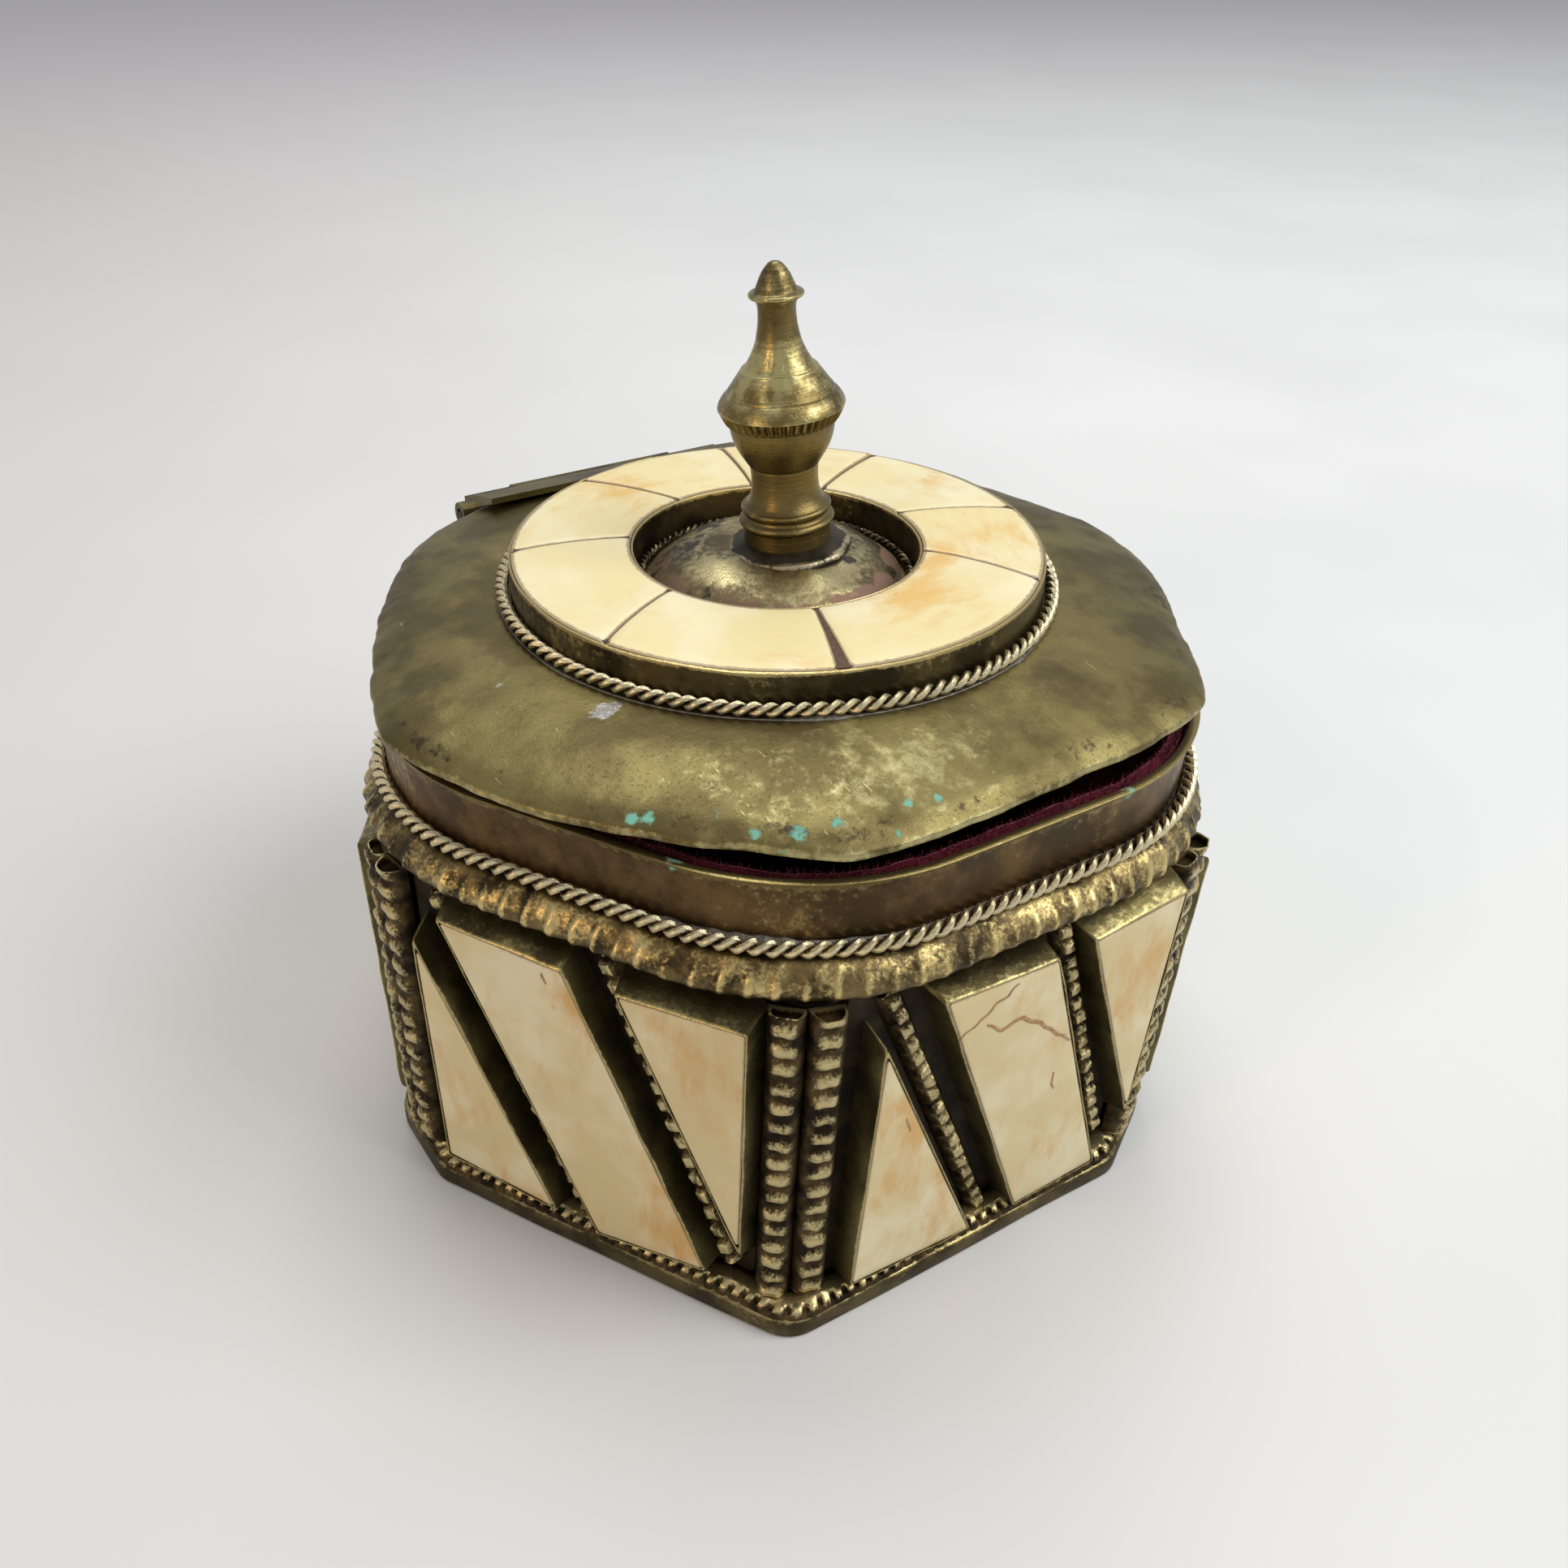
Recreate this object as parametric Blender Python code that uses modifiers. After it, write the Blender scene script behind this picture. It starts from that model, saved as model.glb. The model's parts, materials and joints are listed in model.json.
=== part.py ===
"""Hexagonal brass trinket box with bone plaques, a hinged lid and a turned finial.

The box stands on the XY plane with its axis on Z. The opening side faces -Y and the hinge is at +Y.
The lid is built level and over the box's middle, then set a little back and turned about the hinge
axis by the angle at which it rests ajar.
"""

import math

import bmesh
import bpy
from mathutils import Matrix, Vector

# Clearance between pieces that touch
GAP = 0.0003

# Base plate and shell
BASE_APOTHEM = 0.0500
BASE_THICKNESS = 0.0030
BASE_CORNER = 0.0064
BASE_EDGE = 0.0007
BASE_LEDGE = 0.0048
SHELL_THICKNESS = 0.0010
SHELL_CORNER = 0.0020
SHELL_HEIGHT = 0.0452

# Stamped bead strips
BASE_STRIP_WIDTH = 0.0035
BASE_STRIP_HEIGHT = 0.0009
CORNER_STRIP_WIDTH = 0.0034
CORNER_STRIP_HEIGHT = 0.0020
CORNER_STRIP_SEAM = 0.0006
SLANT_STRIP_WIDTH = 0.0030
SLANT_STRIP_HEIGHT = 0.0015
BAND_WIDTH = 0.0027
BAND_HEIGHT = 0.0034

# Facet panels, box bezels and plaques
PANEL_THICKNESS = 0.0006
BEZEL_DEPTH = 0.0043
BEZEL_WALL = 0.0005
BEZEL_CORNER = 0.0006
PLAQUE_RECESS = 0.0003
PLAQUE_EDGE = 0.0002
TRIANGLE_SHARES = ((-0.98, 0.01), (-0.13, 0.01), (-0.90, 0.91))
SLANTED_SHARES = ((0.10, 0.01), (0.82, 0.01), (0.11, 0.955), (-0.66, 0.955))
INVERTED_SHARES = ((0.985, 0.11), (0.98, 0.965), (0.31, 0.96))
STRIP_SHARES = (((-0.80, 0.985), (-0.03, 0.015)), ((0.21, 0.985), (0.89, 0.06)))

# Shoulder and collar
SHOULDER_CORNER = 0.0100
SHOULDER_THICKNESS = 0.0008
SHOULDER_LEDGE = 0.0010
COLLAR_STEP = 0.0013
COLLAR_CORNER = 0.0280
COLLAR_THICKNESS = 0.0008
COLLAR_LIP = 0.0005
COLLAR_HEIGHT = 0.0121
ROPE_RADIUS = 0.0008

# Velvet lining of the body
LINING_THICKNESS = 0.0015
LINING_CORNER = 0.0240
LINING_DROP = 0.0006
LINING_STEP = 0.0020
PAD_THICKNESS = 0.0020
PAD_EDGE = 0.0005

# Lid sheet
REST_ANGLE = math.radians(0.5)
LID_OVERHANG = 0.0014
LID_BACK = 0.0015
LID_CORNER = 0.0286
LID_THICKNESS = 0.0009
LID_LIFT = 0.0016
LID_SKIRT = 0.0013
LID_BEND = 0.0008
LID_RISE = 0.0033
SLOPE_SHARES = (0.25, 0.5, 0.75)
LID_LINING_MARGIN = 0.0036
LID_LINING_THICKNESS = 0.0009

# Drum and bone ring
DRUM_RADIUS = 0.0314
DRUM_INNER_RADIUS = 0.0168
DRUM_WALL = 0.0006
DRUM_HEIGHT = 0.0042
DRUM_ROPE_RADIUS = 0.00075
INNER_ROPE_RADIUS = 0.0005
RING_PROUD = 0.0002
RING_EDGE = 0.0002
RING_SEAM = 0.0005
SEAM_DEGREES = (-167.6, -110.7, -40.5, -1.3, 36.5, 67.1, 98.1, 139.9)
WEDGE_DEGREES = 3.2
WEDGE_SEAM = 1

# Boss and finial
BOSS_THICKNESS = 0.0007
BOSS_HEIGHT = 0.0030
SOLDER_RADIUS = 0.0068
SOLDER_HEIGHT = 0.0004
STUD_RADIUS = 0.0015
STUD_LENGTH = 0.0066
FINIAL_HEIGHT = 0.0315
FINIAL_RADIUS = 0.0070
FINIAL_SHARES = (
    (0.08, 0.998),
    (0.16, 0.985),
    (0.245, 0.953),
    (0.30, 0.928),
    (0.41, 0.908),
    (0.41, 0.896),
    (0.32, 0.875),
    (0.295, 0.82),
    (0.31, 0.77),
    (0.37, 0.72),
    (0.50, 0.67),
    (0.70, 0.615),
    (0.86, 0.555),
    (0.96, 0.515),
    (1.00, 0.497),
    (1.00, 0.432),
    (0.87, 0.425),
    (0.82, 0.375),
    (0.64, 0.32),
    (0.56, 0.29),
    (0.555, 0.25),
    (0.58, 0.18),
    (0.62, 0.142),
    (0.70, 0.135),
    (0.70, 0.105),
    (0.78, 0.098),
    (0.86, 0.07),
    (0.86, 0.012),
    (0.84, 0.0),
)
NUT_RADIUS = 0.0030
NUT_HEIGHT = 0.0014

# Hinge
HINGE_WIDTH = 0.0400
KNUCKLE_WIDTH = 0.0260
KNUCKLE_RADIUS = 0.0018
PIN_RADIUS = 0.0007
LEAF_THICKNESS = 0.0008
LID_LEAF_SHARE = 0.33
HINGE_RISE = 0.0003

# Facets of curves
CORNER_STEPS = 6
SHARP_STEPS = 2
SPIN_STEPS = 42
FINIAL_STEPS = 24
ROUND_STEPS = 6
EDGE_STEPS = 1
MERGE = 0.00001
SEGMENT_DEGREES = 8.0
CIRCLE_SHARE = 0.995
FILLET_SHARE = 0.45
NECK_SHARE = 0.8
BOSS_SHARES = (0.0, 0.35, 0.7, 1.0)

# Places that follow from the sizes
FACE_DEGREES = (-90.0, -30.0, 30.0, 90.0, 150.0, 210.0)
SHELL_APOTHEM = BASE_APOTHEM - BASE_LEDGE
BODY_BOTTOM = BASE_THICKNESS + GAP
SHELL_TOP = BODY_BOTTOM + SHELL_HEIGHT
PANEL_BOTTOM = BODY_BOTTOM + BASE_STRIP_HEIGHT + GAP
PANEL_TOP = SHELL_TOP - GAP
PANEL_FACE = SHELL_APOTHEM + GAP
CORNER_REACH = CORNER_STRIP_WIDTH + CORNER_STRIP_SEAM / 2
SIDE_HALF = SHELL_APOTHEM * math.tan(math.radians(30.0))
PANEL_HALF = SIDE_HALF - CORNER_REACH - GAP
SHOULDER_APOTHEM = SHELL_APOTHEM + SHOULDER_LEDGE
SHOULDER_INNER = SHELL_APOTHEM - SHELL_THICKNESS
SHOULDER_BOTTOM = SHELL_TOP + GAP
COLLAR_APOTHEM = SHELL_APOTHEM + COLLAR_STEP
COLLAR_BOTTOM = SHOULDER_BOTTOM + SHOULDER_THICKNESS + GAP
RIM_HEIGHT = COLLAR_BOTTOM + COLLAR_HEIGHT
BAND_INNER = COLLAR_APOTHEM + GAP
BAND_TOP = COLLAR_BOTTOM + BAND_HEIGHT
ROPE_APOTHEM = COLLAR_APOTHEM + GAP + ROPE_RADIUS
ROPE_Z = BAND_TOP + GAP + ROPE_RADIUS
LINING_OUTER = SHELL_APOTHEM - SHELL_THICKNESS - GAP
LINING_WIDE = COLLAR_APOTHEM - COLLAR_THICKNESS - GAP
LINING_TOP = RIM_HEIGHT - LINING_DROP
LID_APOTHEM = COLLAR_APOTHEM + LID_OVERHANG
LID_SEAT_RADIUS = DRUM_RADIUS + GAP + 2 * DRUM_ROPE_RADIUS
LID_LINING_APOTHEM = LID_APOTHEM - LID_LINING_MARGIN
LID_BOTTOM = RIM_HEIGHT + LID_LIFT
LID_SEAT = LID_BOTTOM + LID_SKIRT + LID_RISE
DRUM_BOTTOM = LID_SEAT + GAP
DRUM_TOP = DRUM_BOTTOM + DRUM_HEIGHT
BOSS_RADIUS = DRUM_INNER_RADIUS - 2 * INNER_ROPE_RADIUS - 3 * GAP
BOSS_BOTTOM = LID_SEAT + GAP
BOSS_TOP = BOSS_BOTTOM + BOSS_HEIGHT
FINIAL_BOTTOM = BOSS_TOP + GAP
HINGE_Y = LID_APOTHEM + KNUCKLE_RADIUS + GAP
BARREL_Y = HINGE_Y + LID_BACK
HINGE_Z = RIM_HEIGHT + HINGE_RISE
HINGE_IN_LID = Vector((0.0, HINGE_Y, HINGE_Z))
HINGE_PLACE = Vector((0.0, BARREL_Y, HINGE_Z))

BRASS = (0.42, 0.33, 0.16)
OLD_BRASS = (0.25, 0.21, 0.12)
COPPER = (0.28, 0.17, 0.10)
BONE = (0.85, 0.78, 0.60)
VELVET = (0.22, 0.02, 0.04)


def clear_scene():
    for obj in list(bpy.data.objects):
        bpy.data.objects.remove(obj, do_unlink=True)


def finish(obj, colour, metallic, roughness, moving=False):
    """Give the object its own material and, on the lid, its place about the hinge axis."""
    material = bpy.data.materials.new(obj.name)
    material.use_nodes = True
    shader = material.node_tree.nodes["Principled BSDF"]
    shader.inputs["Base Color"].default_value = (*colour, 1.0)
    shader.inputs["Metallic"].default_value = metallic
    shader.inputs["Roughness"].default_value = roughness
    material.diffuse_color = (*colour, 1.0)
    obj.data.materials.clear()
    obj.data.materials.append(material)
    if moving:
        obj.data.transform(Matrix.Translation(-HINGE_IN_LID) @ obj.matrix_basis)
        obj.matrix_basis = Matrix.Identity(4)
        obj.parent = LID_AXIS
    return obj


def brass(obj, moving=False):
    return finish(obj, BRASS, 1.0, 0.35, moving)


def old_brass(obj, moving=False):
    return finish(obj, OLD_BRASS, 1.0, 0.5, moving)


def bone(obj, moving=False):
    return finish(obj, BONE, 0.0, 0.4, moving)


def velvet(obj, moving=False):
    return finish(obj, VELVET, 0.0, 0.9, moving)


def link(name, data):
    obj = bpy.data.objects.new(name, data)
    bpy.context.scene.collection.objects.link(obj)
    return obj


def rounded_hexagon(apothem, corner, steps=CORNER_STEPS):
    """Points of a hexagon with rounded corners; a corner as large as the apothem makes a circle."""
    points = []
    reach = (apothem - corner) / math.cos(math.radians(30.0))
    for side in range(6):
        middle = math.radians(60.0 * side)
        for step in range(steps + 1):
            turn = middle + math.radians(60.0) * (step / steps - 0.5)
            if corner == apothem and step == steps:
                continue
            x = reach * math.cos(middle) + corner * math.cos(turn)
            y = reach * math.sin(middle) + corner * math.sin(turn)
            points.append((x, y))
    return points


def loft_ring(apothem, corner, z):
    """A ring for lofting; each has as many points, and a circle keeps a trace of its flats."""
    round_corner = min(corner, apothem * CIRCLE_SHARE)
    return [(x, y, z) for x, y in rounded_hexagon(apothem, round_corner)]


def inset(points, distance):
    """The outline moved in by a distance, its corners kept sharp."""
    moved = []
    count = len(points)
    for index in range(count):
        before = Vector(points[index - 1])
        here = Vector(points[index])
        after = Vector(points[(index + 1) % count])
        one = (here - before).normalized()
        two = (after - here).normalized()
        normal_one = Vector((-one.y, one.x))
        normal_two = Vector((-two.y, two.x))
        share = 1.0 + normal_one.dot(normal_two)
        moved.append(tuple(here + (normal_one + normal_two) * (distance / share)))
    return moved


def fillet(points, radius, steps=SHARP_STEPS):
    """The outline with its corners rounded."""
    rounded = []
    count = len(points)
    for index in range(count):
        here = Vector(points[index])
        back = Vector(points[index - 1]) - here
        ahead = Vector(points[(index + 1) % count]) - here
        half = back.angle(ahead) / 2
        longest = min(back.length, ahead.length) * FILLET_SHARE
        length = min(radius / math.tan(half), longest)
        actual = length * math.tan(half)
        toward = (back.normalized() + ahead.normalized()).normalized()
        centre = here + toward * (length / math.cos(half))
        first = here + back.normalized() * length - centre
        last = here + ahead.normalized() * length - centre
        sweep = first.angle_signed(last)
        for step in range(steps + 1):
            turn = Matrix.Rotation(-sweep * step / steps, 2)
            spoke = turn @ first
            rounded.append(tuple(centre + spoke.normalized() * actual))
    return rounded


def mesh_from(obj):
    """The object's evaluated shape as one welded mesh."""
    bpy.context.view_layer.update()
    graph = bpy.context.evaluated_depsgraph_get()
    mesh = bpy.data.meshes.new_from_object(obj.evaluated_get(graph))
    source = obj.data
    name = obj.name
    bpy.data.objects.remove(obj, do_unlink=True)
    if isinstance(source, bpy.types.Curve):
        bpy.data.curves.remove(source)
    else:
        bpy.data.meshes.remove(source)
    work = bmesh.new()
    work.from_mesh(mesh)
    bmesh.ops.remove_doubles(work, verts=work.verts, dist=MERGE / 10)
    bmesh.ops.recalc_face_normals(work, faces=work.faces)
    work.to_mesh(mesh)
    work.free()
    mesh.name = name
    return link(name, mesh)


def cut_sheet(name, loops, low, high, edge=0.0):
    """A flat outline with any holes, extruded between two heights, its edges eased."""
    curve = bpy.data.curves.new(name, "CURVE")
    curve.dimensions = "2D"
    curve.fill_mode = "BOTH"
    curve.extrude = (high - low) / 2 - edge
    curve.bevel_depth = edge
    curve.bevel_resolution = EDGE_STEPS
    curve.offset = -edge
    for loop in loops:
        spline = curve.splines.new("POLY")
        spline.points.add(len(loop) - 1)
        for point, (x, y) in zip(spline.points, loop):
            point.co = (x, y, 0.0, 1.0)
        spline.use_cyclic_u = True
    obj = mesh_from(link(name, curve))
    obj.data.transform(Matrix.Translation((0.0, 0.0, (low + high) / 2)))
    return obj


def tube(name, points, radius):
    """A closed round rod along a loop of points."""
    curve = bpy.data.curves.new(name, "CURVE")
    curve.dimensions = "3D"
    curve.bevel_depth = radius
    curve.bevel_resolution = 2
    curve.use_fill_caps = True
    spline = curve.splines.new("POLY")
    spline.points.add(len(points) - 1)
    for point, (x, y, z) in zip(spline.points, points):
        point.co = (x, y, z, 1.0)
    spline.use_cyclic_u = True
    return mesh_from(link(name, curve))


def loft(name, rings):
    """A hoop whose section is given by rings: a grid laid along them and welded to itself."""
    around = len(rings[0])
    work = bmesh.new()
    bmesh.ops.create_grid(work, x_segments=around, y_segments=len(rings), size=RIM_HEIGHT)
    places = [point for ring in [*rings, rings[0]] for point in [*ring, ring[0]]]
    for vert, place in zip(work.verts, places, strict=True):
        vert.co = place
    bmesh.ops.remove_doubles(work, verts=work.verts, dist=MERGE / 10)
    bmesh.ops.recalc_face_normals(work, faces=work.faces)
    mesh = bpy.data.meshes.new(name)
    work.to_mesh(mesh)
    work.free()
    return link(name, mesh)


def lathe(name, profile, closed, steps=SPIN_STEPS):
    """A profile of radii and heights turned about Z."""
    mesh = bpy.data.meshes.new(name)
    verts = [(radius, 0.0, z) for radius, z in profile]
    edges = [(index, index + 1) for index in range(len(profile) - 1)]
    if closed:
        edges.append((len(profile) - 1, 0))
    mesh.from_pydata(verts, edges, [])
    obj = link(name, mesh)
    screw = obj.modifiers.new("Turn", "SCREW")
    screw.axis = "Z"
    screw.angle = math.radians(360.0)
    screw.steps = steps
    screw.render_steps = steps
    screw.use_merge_vertices = True
    screw.merge_threshold = MERGE
    return mesh_from(obj)


def half_round(inner, width, low, height, corner_of, steps=ROUND_STEPS):
    """Rings of a half-round strip laid flat: inner edge, width outward and height."""
    rings = []
    for step in range(steps + 1):
        turn = math.pi * step / steps
        out = inner + width / 2 - width / 2 * math.cos(turn)
        up = low + height * math.sin(turn)
        rings.append(loft_ring(out, corner_of(out), up))
    return rings


def facet_matrix(degrees, away):
    """Local X runs along the facet, local Y up and local Z out of the wall."""
    turn = math.radians(degrees)
    out = Vector((math.cos(turn), math.sin(turn), 0.0))
    along = Vector((-out.y, out.x, 0.0))
    up = Vector((0.0, 0.0, 1.0))
    matrix = Matrix((along, up, out)).transposed().to_4x4()
    return Matrix.Translation(out * away) @ matrix


def join(whole, pieces):
    """One body out of overlapping ones."""
    for piece in pieces:
        union = whole.modifiers.new("Join", "BOOLEAN")
        union.operation = "UNION"
        union.solver = "EXACT"
        union.object = piece
    bpy.context.view_layer.update()
    graph = bpy.context.evaluated_depsgraph_get()
    mesh = bpy.data.meshes.new_from_object(whole.evaluated_get(graph))
    whole.modifiers.clear()
    whole.data = mesh
    for piece in pieces:
        bpy.data.objects.remove(piece, do_unlink=True)
    return whole


def panel_point(share):
    return (share[0] * PANEL_HALF, PANEL_BOTTOM + share[1] * (PANEL_TOP - PANEL_BOTTOM))


def base_plate():
    outline = rounded_hexagon(BASE_APOTHEM, BASE_CORNER, SHARP_STEPS + 1)
    brass(cut_sheet("base_plate", [outline], 0.0, BASE_THICKNESS, BASE_EDGE))


def base_bead_strip():
    inner = SHELL_APOTHEM + GAP

    def corner_of(out):
        return SHELL_CORNER + out - SHELL_APOTHEM

    rings = half_round(inner, BASE_STRIP_WIDTH, BODY_BOTTOM, BASE_STRIP_HEIGHT, corner_of)
    brass(loft("base_bead_strip", rings))


def body_shell():
    outer = rounded_hexagon(SHELL_APOTHEM, SHELL_CORNER, SHARP_STEPS)
    inner_apothem = SHELL_APOTHEM - SHELL_THICKNESS
    inner = rounded_hexagon(inner_apothem, SHELL_CORNER - SHELL_THICKNESS, SHARP_STEPS)
    old_brass(cut_sheet("body_shell", [outer, inner], BODY_BOTTOM, SHELL_TOP))


def shoulder_plate():
    outer = rounded_hexagon(SHOULDER_APOTHEM, SHOULDER_CORNER)
    inner = rounded_hexagon(SHOULDER_INNER, LINING_CORNER)
    top = SHOULDER_BOTTOM + SHOULDER_THICKNESS
    old_brass(cut_sheet("shoulder_plate", [outer, inner], SHOULDER_BOTTOM, top))


def collar():
    inside = COLLAR_APOTHEM - COLLAR_THICKNESS
    lip = COLLAR_APOTHEM + COLLAR_LIP
    section = (
        (inside, COLLAR_BOTTOM),
        (COLLAR_APOTHEM, COLLAR_BOTTOM),
        (COLLAR_APOTHEM, RIM_HEIGHT - 3 * COLLAR_LIP),
        (lip, RIM_HEIGHT - 2 * COLLAR_LIP),
        (lip, RIM_HEIGHT - COLLAR_LIP),
        (COLLAR_APOTHEM, RIM_HEIGHT),
        (inside, RIM_HEIGHT - COLLAR_LIP / 2),
    )
    rings = [loft_ring(out, COLLAR_CORNER + out - COLLAR_APOTHEM, z) for out, z in section]
    finish(loft("collar", rings), COPPER, 1.0, 0.4)


def shoulder_bead_band():
    def corner_of(out):
        return COLLAR_CORNER + out - COLLAR_APOTHEM

    rings = []
    for step in range(ROUND_STEPS + 1):
        turn = math.pi * step / ROUND_STEPS
        out = BAND_INNER + BAND_WIDTH * math.sin(turn)
        up = COLLAR_BOTTOM + BAND_HEIGHT / 2 - BAND_HEIGHT / 2 * math.cos(turn)
        rings.append(loft_ring(out, corner_of(out), up))
    brass(loft("shoulder_bead_band", rings))


def shoulder_rope():
    path = loft_ring(ROPE_APOTHEM, COLLAR_CORNER + ROPE_APOTHEM - COLLAR_APOTHEM, ROPE_Z)
    brass(tube("shoulder_rope", path, ROPE_RADIUS))


def wall_lining():
    step_bottom = COLLAR_BOTTOM + GAP
    step_top = step_bottom + LINING_STEP
    narrow = LINING_OUTER - LINING_THICKNESS
    wide = LINING_WIDE - LINING_THICKNESS
    edge = LINING_THICKNESS / 4
    section = (
        (narrow, BODY_BOTTOM),
        (LINING_OUTER, BODY_BOTTOM),
        (LINING_OUTER, step_bottom),
        (LINING_WIDE, step_top),
        (LINING_WIDE, LINING_TOP - edge),
        (LINING_WIDE - edge, LINING_TOP),
        (wide + edge, LINING_TOP),
        (wide, LINING_TOP - edge),
        (wide, step_top),
        (narrow, step_bottom),
    )
    rings = [loft_ring(out, LINING_CORNER + out - LINING_OUTER, z) for out, z in section]
    velvet(loft("wall_lining", rings))


def floor_pad():
    apothem = LINING_OUTER - LINING_THICKNESS - GAP
    outline = rounded_hexagon(apothem, LINING_CORNER - LINING_THICKNESS - GAP)
    top = BODY_BOTTOM + PAD_THICKNESS
    velvet(cut_sheet("floor_pad", [outline], BODY_BOTTOM, top, PAD_EDGE))


def slanted_strip(name, ends):
    """A half-round strip between two places on the panel."""
    top = Vector(panel_point(ends[0]))
    bottom = Vector(panel_point(ends[1]))
    length = (top - bottom).length
    outline = []
    for step in range(ROUND_STEPS + 1):
        turn = math.pi * step / ROUND_STEPS
        across = SLANT_STRIP_WIDTH / 2 * math.cos(turn)
        outline.append((across, PANEL_THICKNESS + SLANT_STRIP_HEIGHT * math.sin(turn)))
    half = SLANT_STRIP_WIDTH / 2
    outline += [(-half, PANEL_THICKNESS / 2), (half, PANEL_THICKNESS / 2)]
    strip = cut_sheet(name, [outline], 0.0, length)
    lean = (top - bottom).normalized()
    across = Vector((lean.y, -lean.x, 0.0))
    along = Vector((-lean.x, -lean.y, 0.0))
    out = Vector((0.0, 0.0, 1.0))
    turn = Matrix((across, out, along)).transposed().to_4x4()
    strip.data.transform(Matrix.Translation(top.to_3d()) @ turn)
    return strip


def facet_pieces():
    """The shared meshes of a facet: its panel with bezels and strips, and its three plaques."""
    outline = [
        (-PANEL_HALF, PANEL_BOTTOM),
        (PANEL_HALF, PANEL_BOTTOM),
        (PANEL_HALF, PANEL_TOP),
        (-PANEL_HALF, PANEL_TOP),
    ]
    panel = cut_sheet("facet_panel", [outline], 0.0, PANEL_THICKNESS)
    pieces = []
    plaques = []
    for shares in (TRIANGLE_SHARES, SLANTED_SHARES, INVERTED_SHARES):
        outer = [panel_point(share) for share in shares]
        inner = inset(outer, BEZEL_WALL)
        plaque = inset(outer, BEZEL_WALL + GAP)
        outer = fillet(outer, BEZEL_CORNER + BEZEL_WALL)
        inner = fillet(inner, BEZEL_CORNER)
        plaque = fillet(plaque, BEZEL_CORNER)
        frame = cut_sheet("bezel", [outer, inner], PANEL_THICKNESS / 2, BEZEL_DEPTH)
        pieces.append(frame)
        low = PANEL_THICKNESS + GAP
        high = BEZEL_DEPTH - PLAQUE_RECESS
        plaques.append(cut_sheet("plaque", [plaque], low, high, PLAQUE_EDGE))
    for ends in STRIP_SHARES:
        pieces.append(slanted_strip("strip", ends))
    return join(panel, pieces), plaques


def facets():
    panel, plaques = facet_pieces()
    kinds = ("triangle", "slanted", "inverted")
    for number, degrees in enumerate(FACE_DEGREES):
        place = facet_matrix(degrees, PANEL_FACE)
        copy = link(f"facet_panel_{number + 1}", panel.data.copy())
        copy.data.transform(place)
        brass(copy)
        for kind, plaque in zip(kinds, plaques):
            copy = link(f"plaque_{number + 1}_{kind}", plaque.data.copy())
            copy.data.transform(place)
            bone(copy)
    for source in [panel, *plaques]:
        bpy.data.objects.remove(source, do_unlink=True)


def corner_bead_strips():
    """Two half-rounds to a corner, one on each side of the edge, drawn in plan and raised."""
    seam = CORNER_STRIP_SEAM / 2
    side = []
    for step in range(ROUND_STEPS + 1):
        turn = math.pi * step / ROUND_STEPS
        along = seam + CORNER_STRIP_WIDTH / 2 - CORNER_STRIP_WIDTH / 2 * math.cos(turn)
        side.append((along, CORNER_STRIP_HEIGHT * math.sin(turn) + BASE_EDGE))
    one = math.radians(30.0)
    reach = PANEL_FACE / math.cos(one)
    edge = Vector((reach, 0.0))
    outline = []
    for sign in (-1.0, 1.0):
        away = Vector((math.cos(one), sign * math.sin(one)))
        back = Vector((-math.sin(one), sign * math.cos(one)))
        places = [edge + back * along + away * out for along, out in side]
        ends = [edge + back * (seam + CORNER_STRIP_WIDTH)]
        outline += (ends + places[::-1]) if sign < 0 else (places + ends)
    outline.append(edge)
    outline = [tuple(place) for place in outline]
    source = cut_sheet("corner", [outline], PANEL_BOTTOM, PANEL_TOP)
    for number, degrees in enumerate(FACE_DEGREES):
        strip = link(f"corner_bead_strip_{number + 1}", source.data.copy())
        turn = math.radians(degrees + 30.0)
        strip.data.transform(Matrix.Rotation(turn, 4, "Z"))
        brass(strip)
    bpy.data.objects.remove(source, do_unlink=True)


def lid_height(out):
    """Height of the sheet's top face: flat under the drum, then falling to the bend."""
    bend = LID_APOTHEM - LID_BEND
    share = max(0.0, (out - LID_SEAT_RADIUS) / (bend - LID_SEAT_RADIUS))
    return LID_SEAT - LID_RISE * share * share


def lid_plate():
    bend = LID_APOTHEM - LID_BEND
    hole = STUD_RADIUS + GAP
    slopes = [LID_SEAT_RADIUS + (bend - LID_SEAT_RADIUS) * share for share in SLOPE_SHARES]
    top = [(hole, hole, LID_SEAT), (LID_SEAT_RADIUS, LID_SEAT_RADIUS, LID_SEAT)]
    for out in slopes:
        share = (out - LID_SEAT_RADIUS) / (bend - LID_SEAT_RADIUS)
        corner = out + (LID_CORNER - out) * share
        top.append((out, corner, lid_height(out)))
    top.append((bend, LID_CORNER, LID_SEAT - LID_RISE))
    top.append((LID_APOTHEM, LID_CORNER + LID_BEND, LID_SEAT - LID_RISE - LID_BEND))
    top.append((LID_APOTHEM, LID_CORNER + LID_BEND, LID_BOTTOM))
    under = []
    for out, corner, z in top[:-2]:
        under.append((out, corner, z - LID_THICKNESS))
    under[-1] = (
        LID_APOTHEM - LID_THICKNESS,
        LID_CORNER + LID_BEND - LID_THICKNESS,
        LID_SEAT - LID_RISE - LID_THICKNESS,
    )
    inside = LID_APOTHEM - LID_THICKNESS
    under.append((inside, LID_CORNER + LID_BEND - LID_THICKNESS, LID_BOTTOM))
    rings = [loft_ring(out, corner, z) for out, corner, z in top + under[::-1]]
    old_brass(loft("lid_plate", rings), moving=True)


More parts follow.
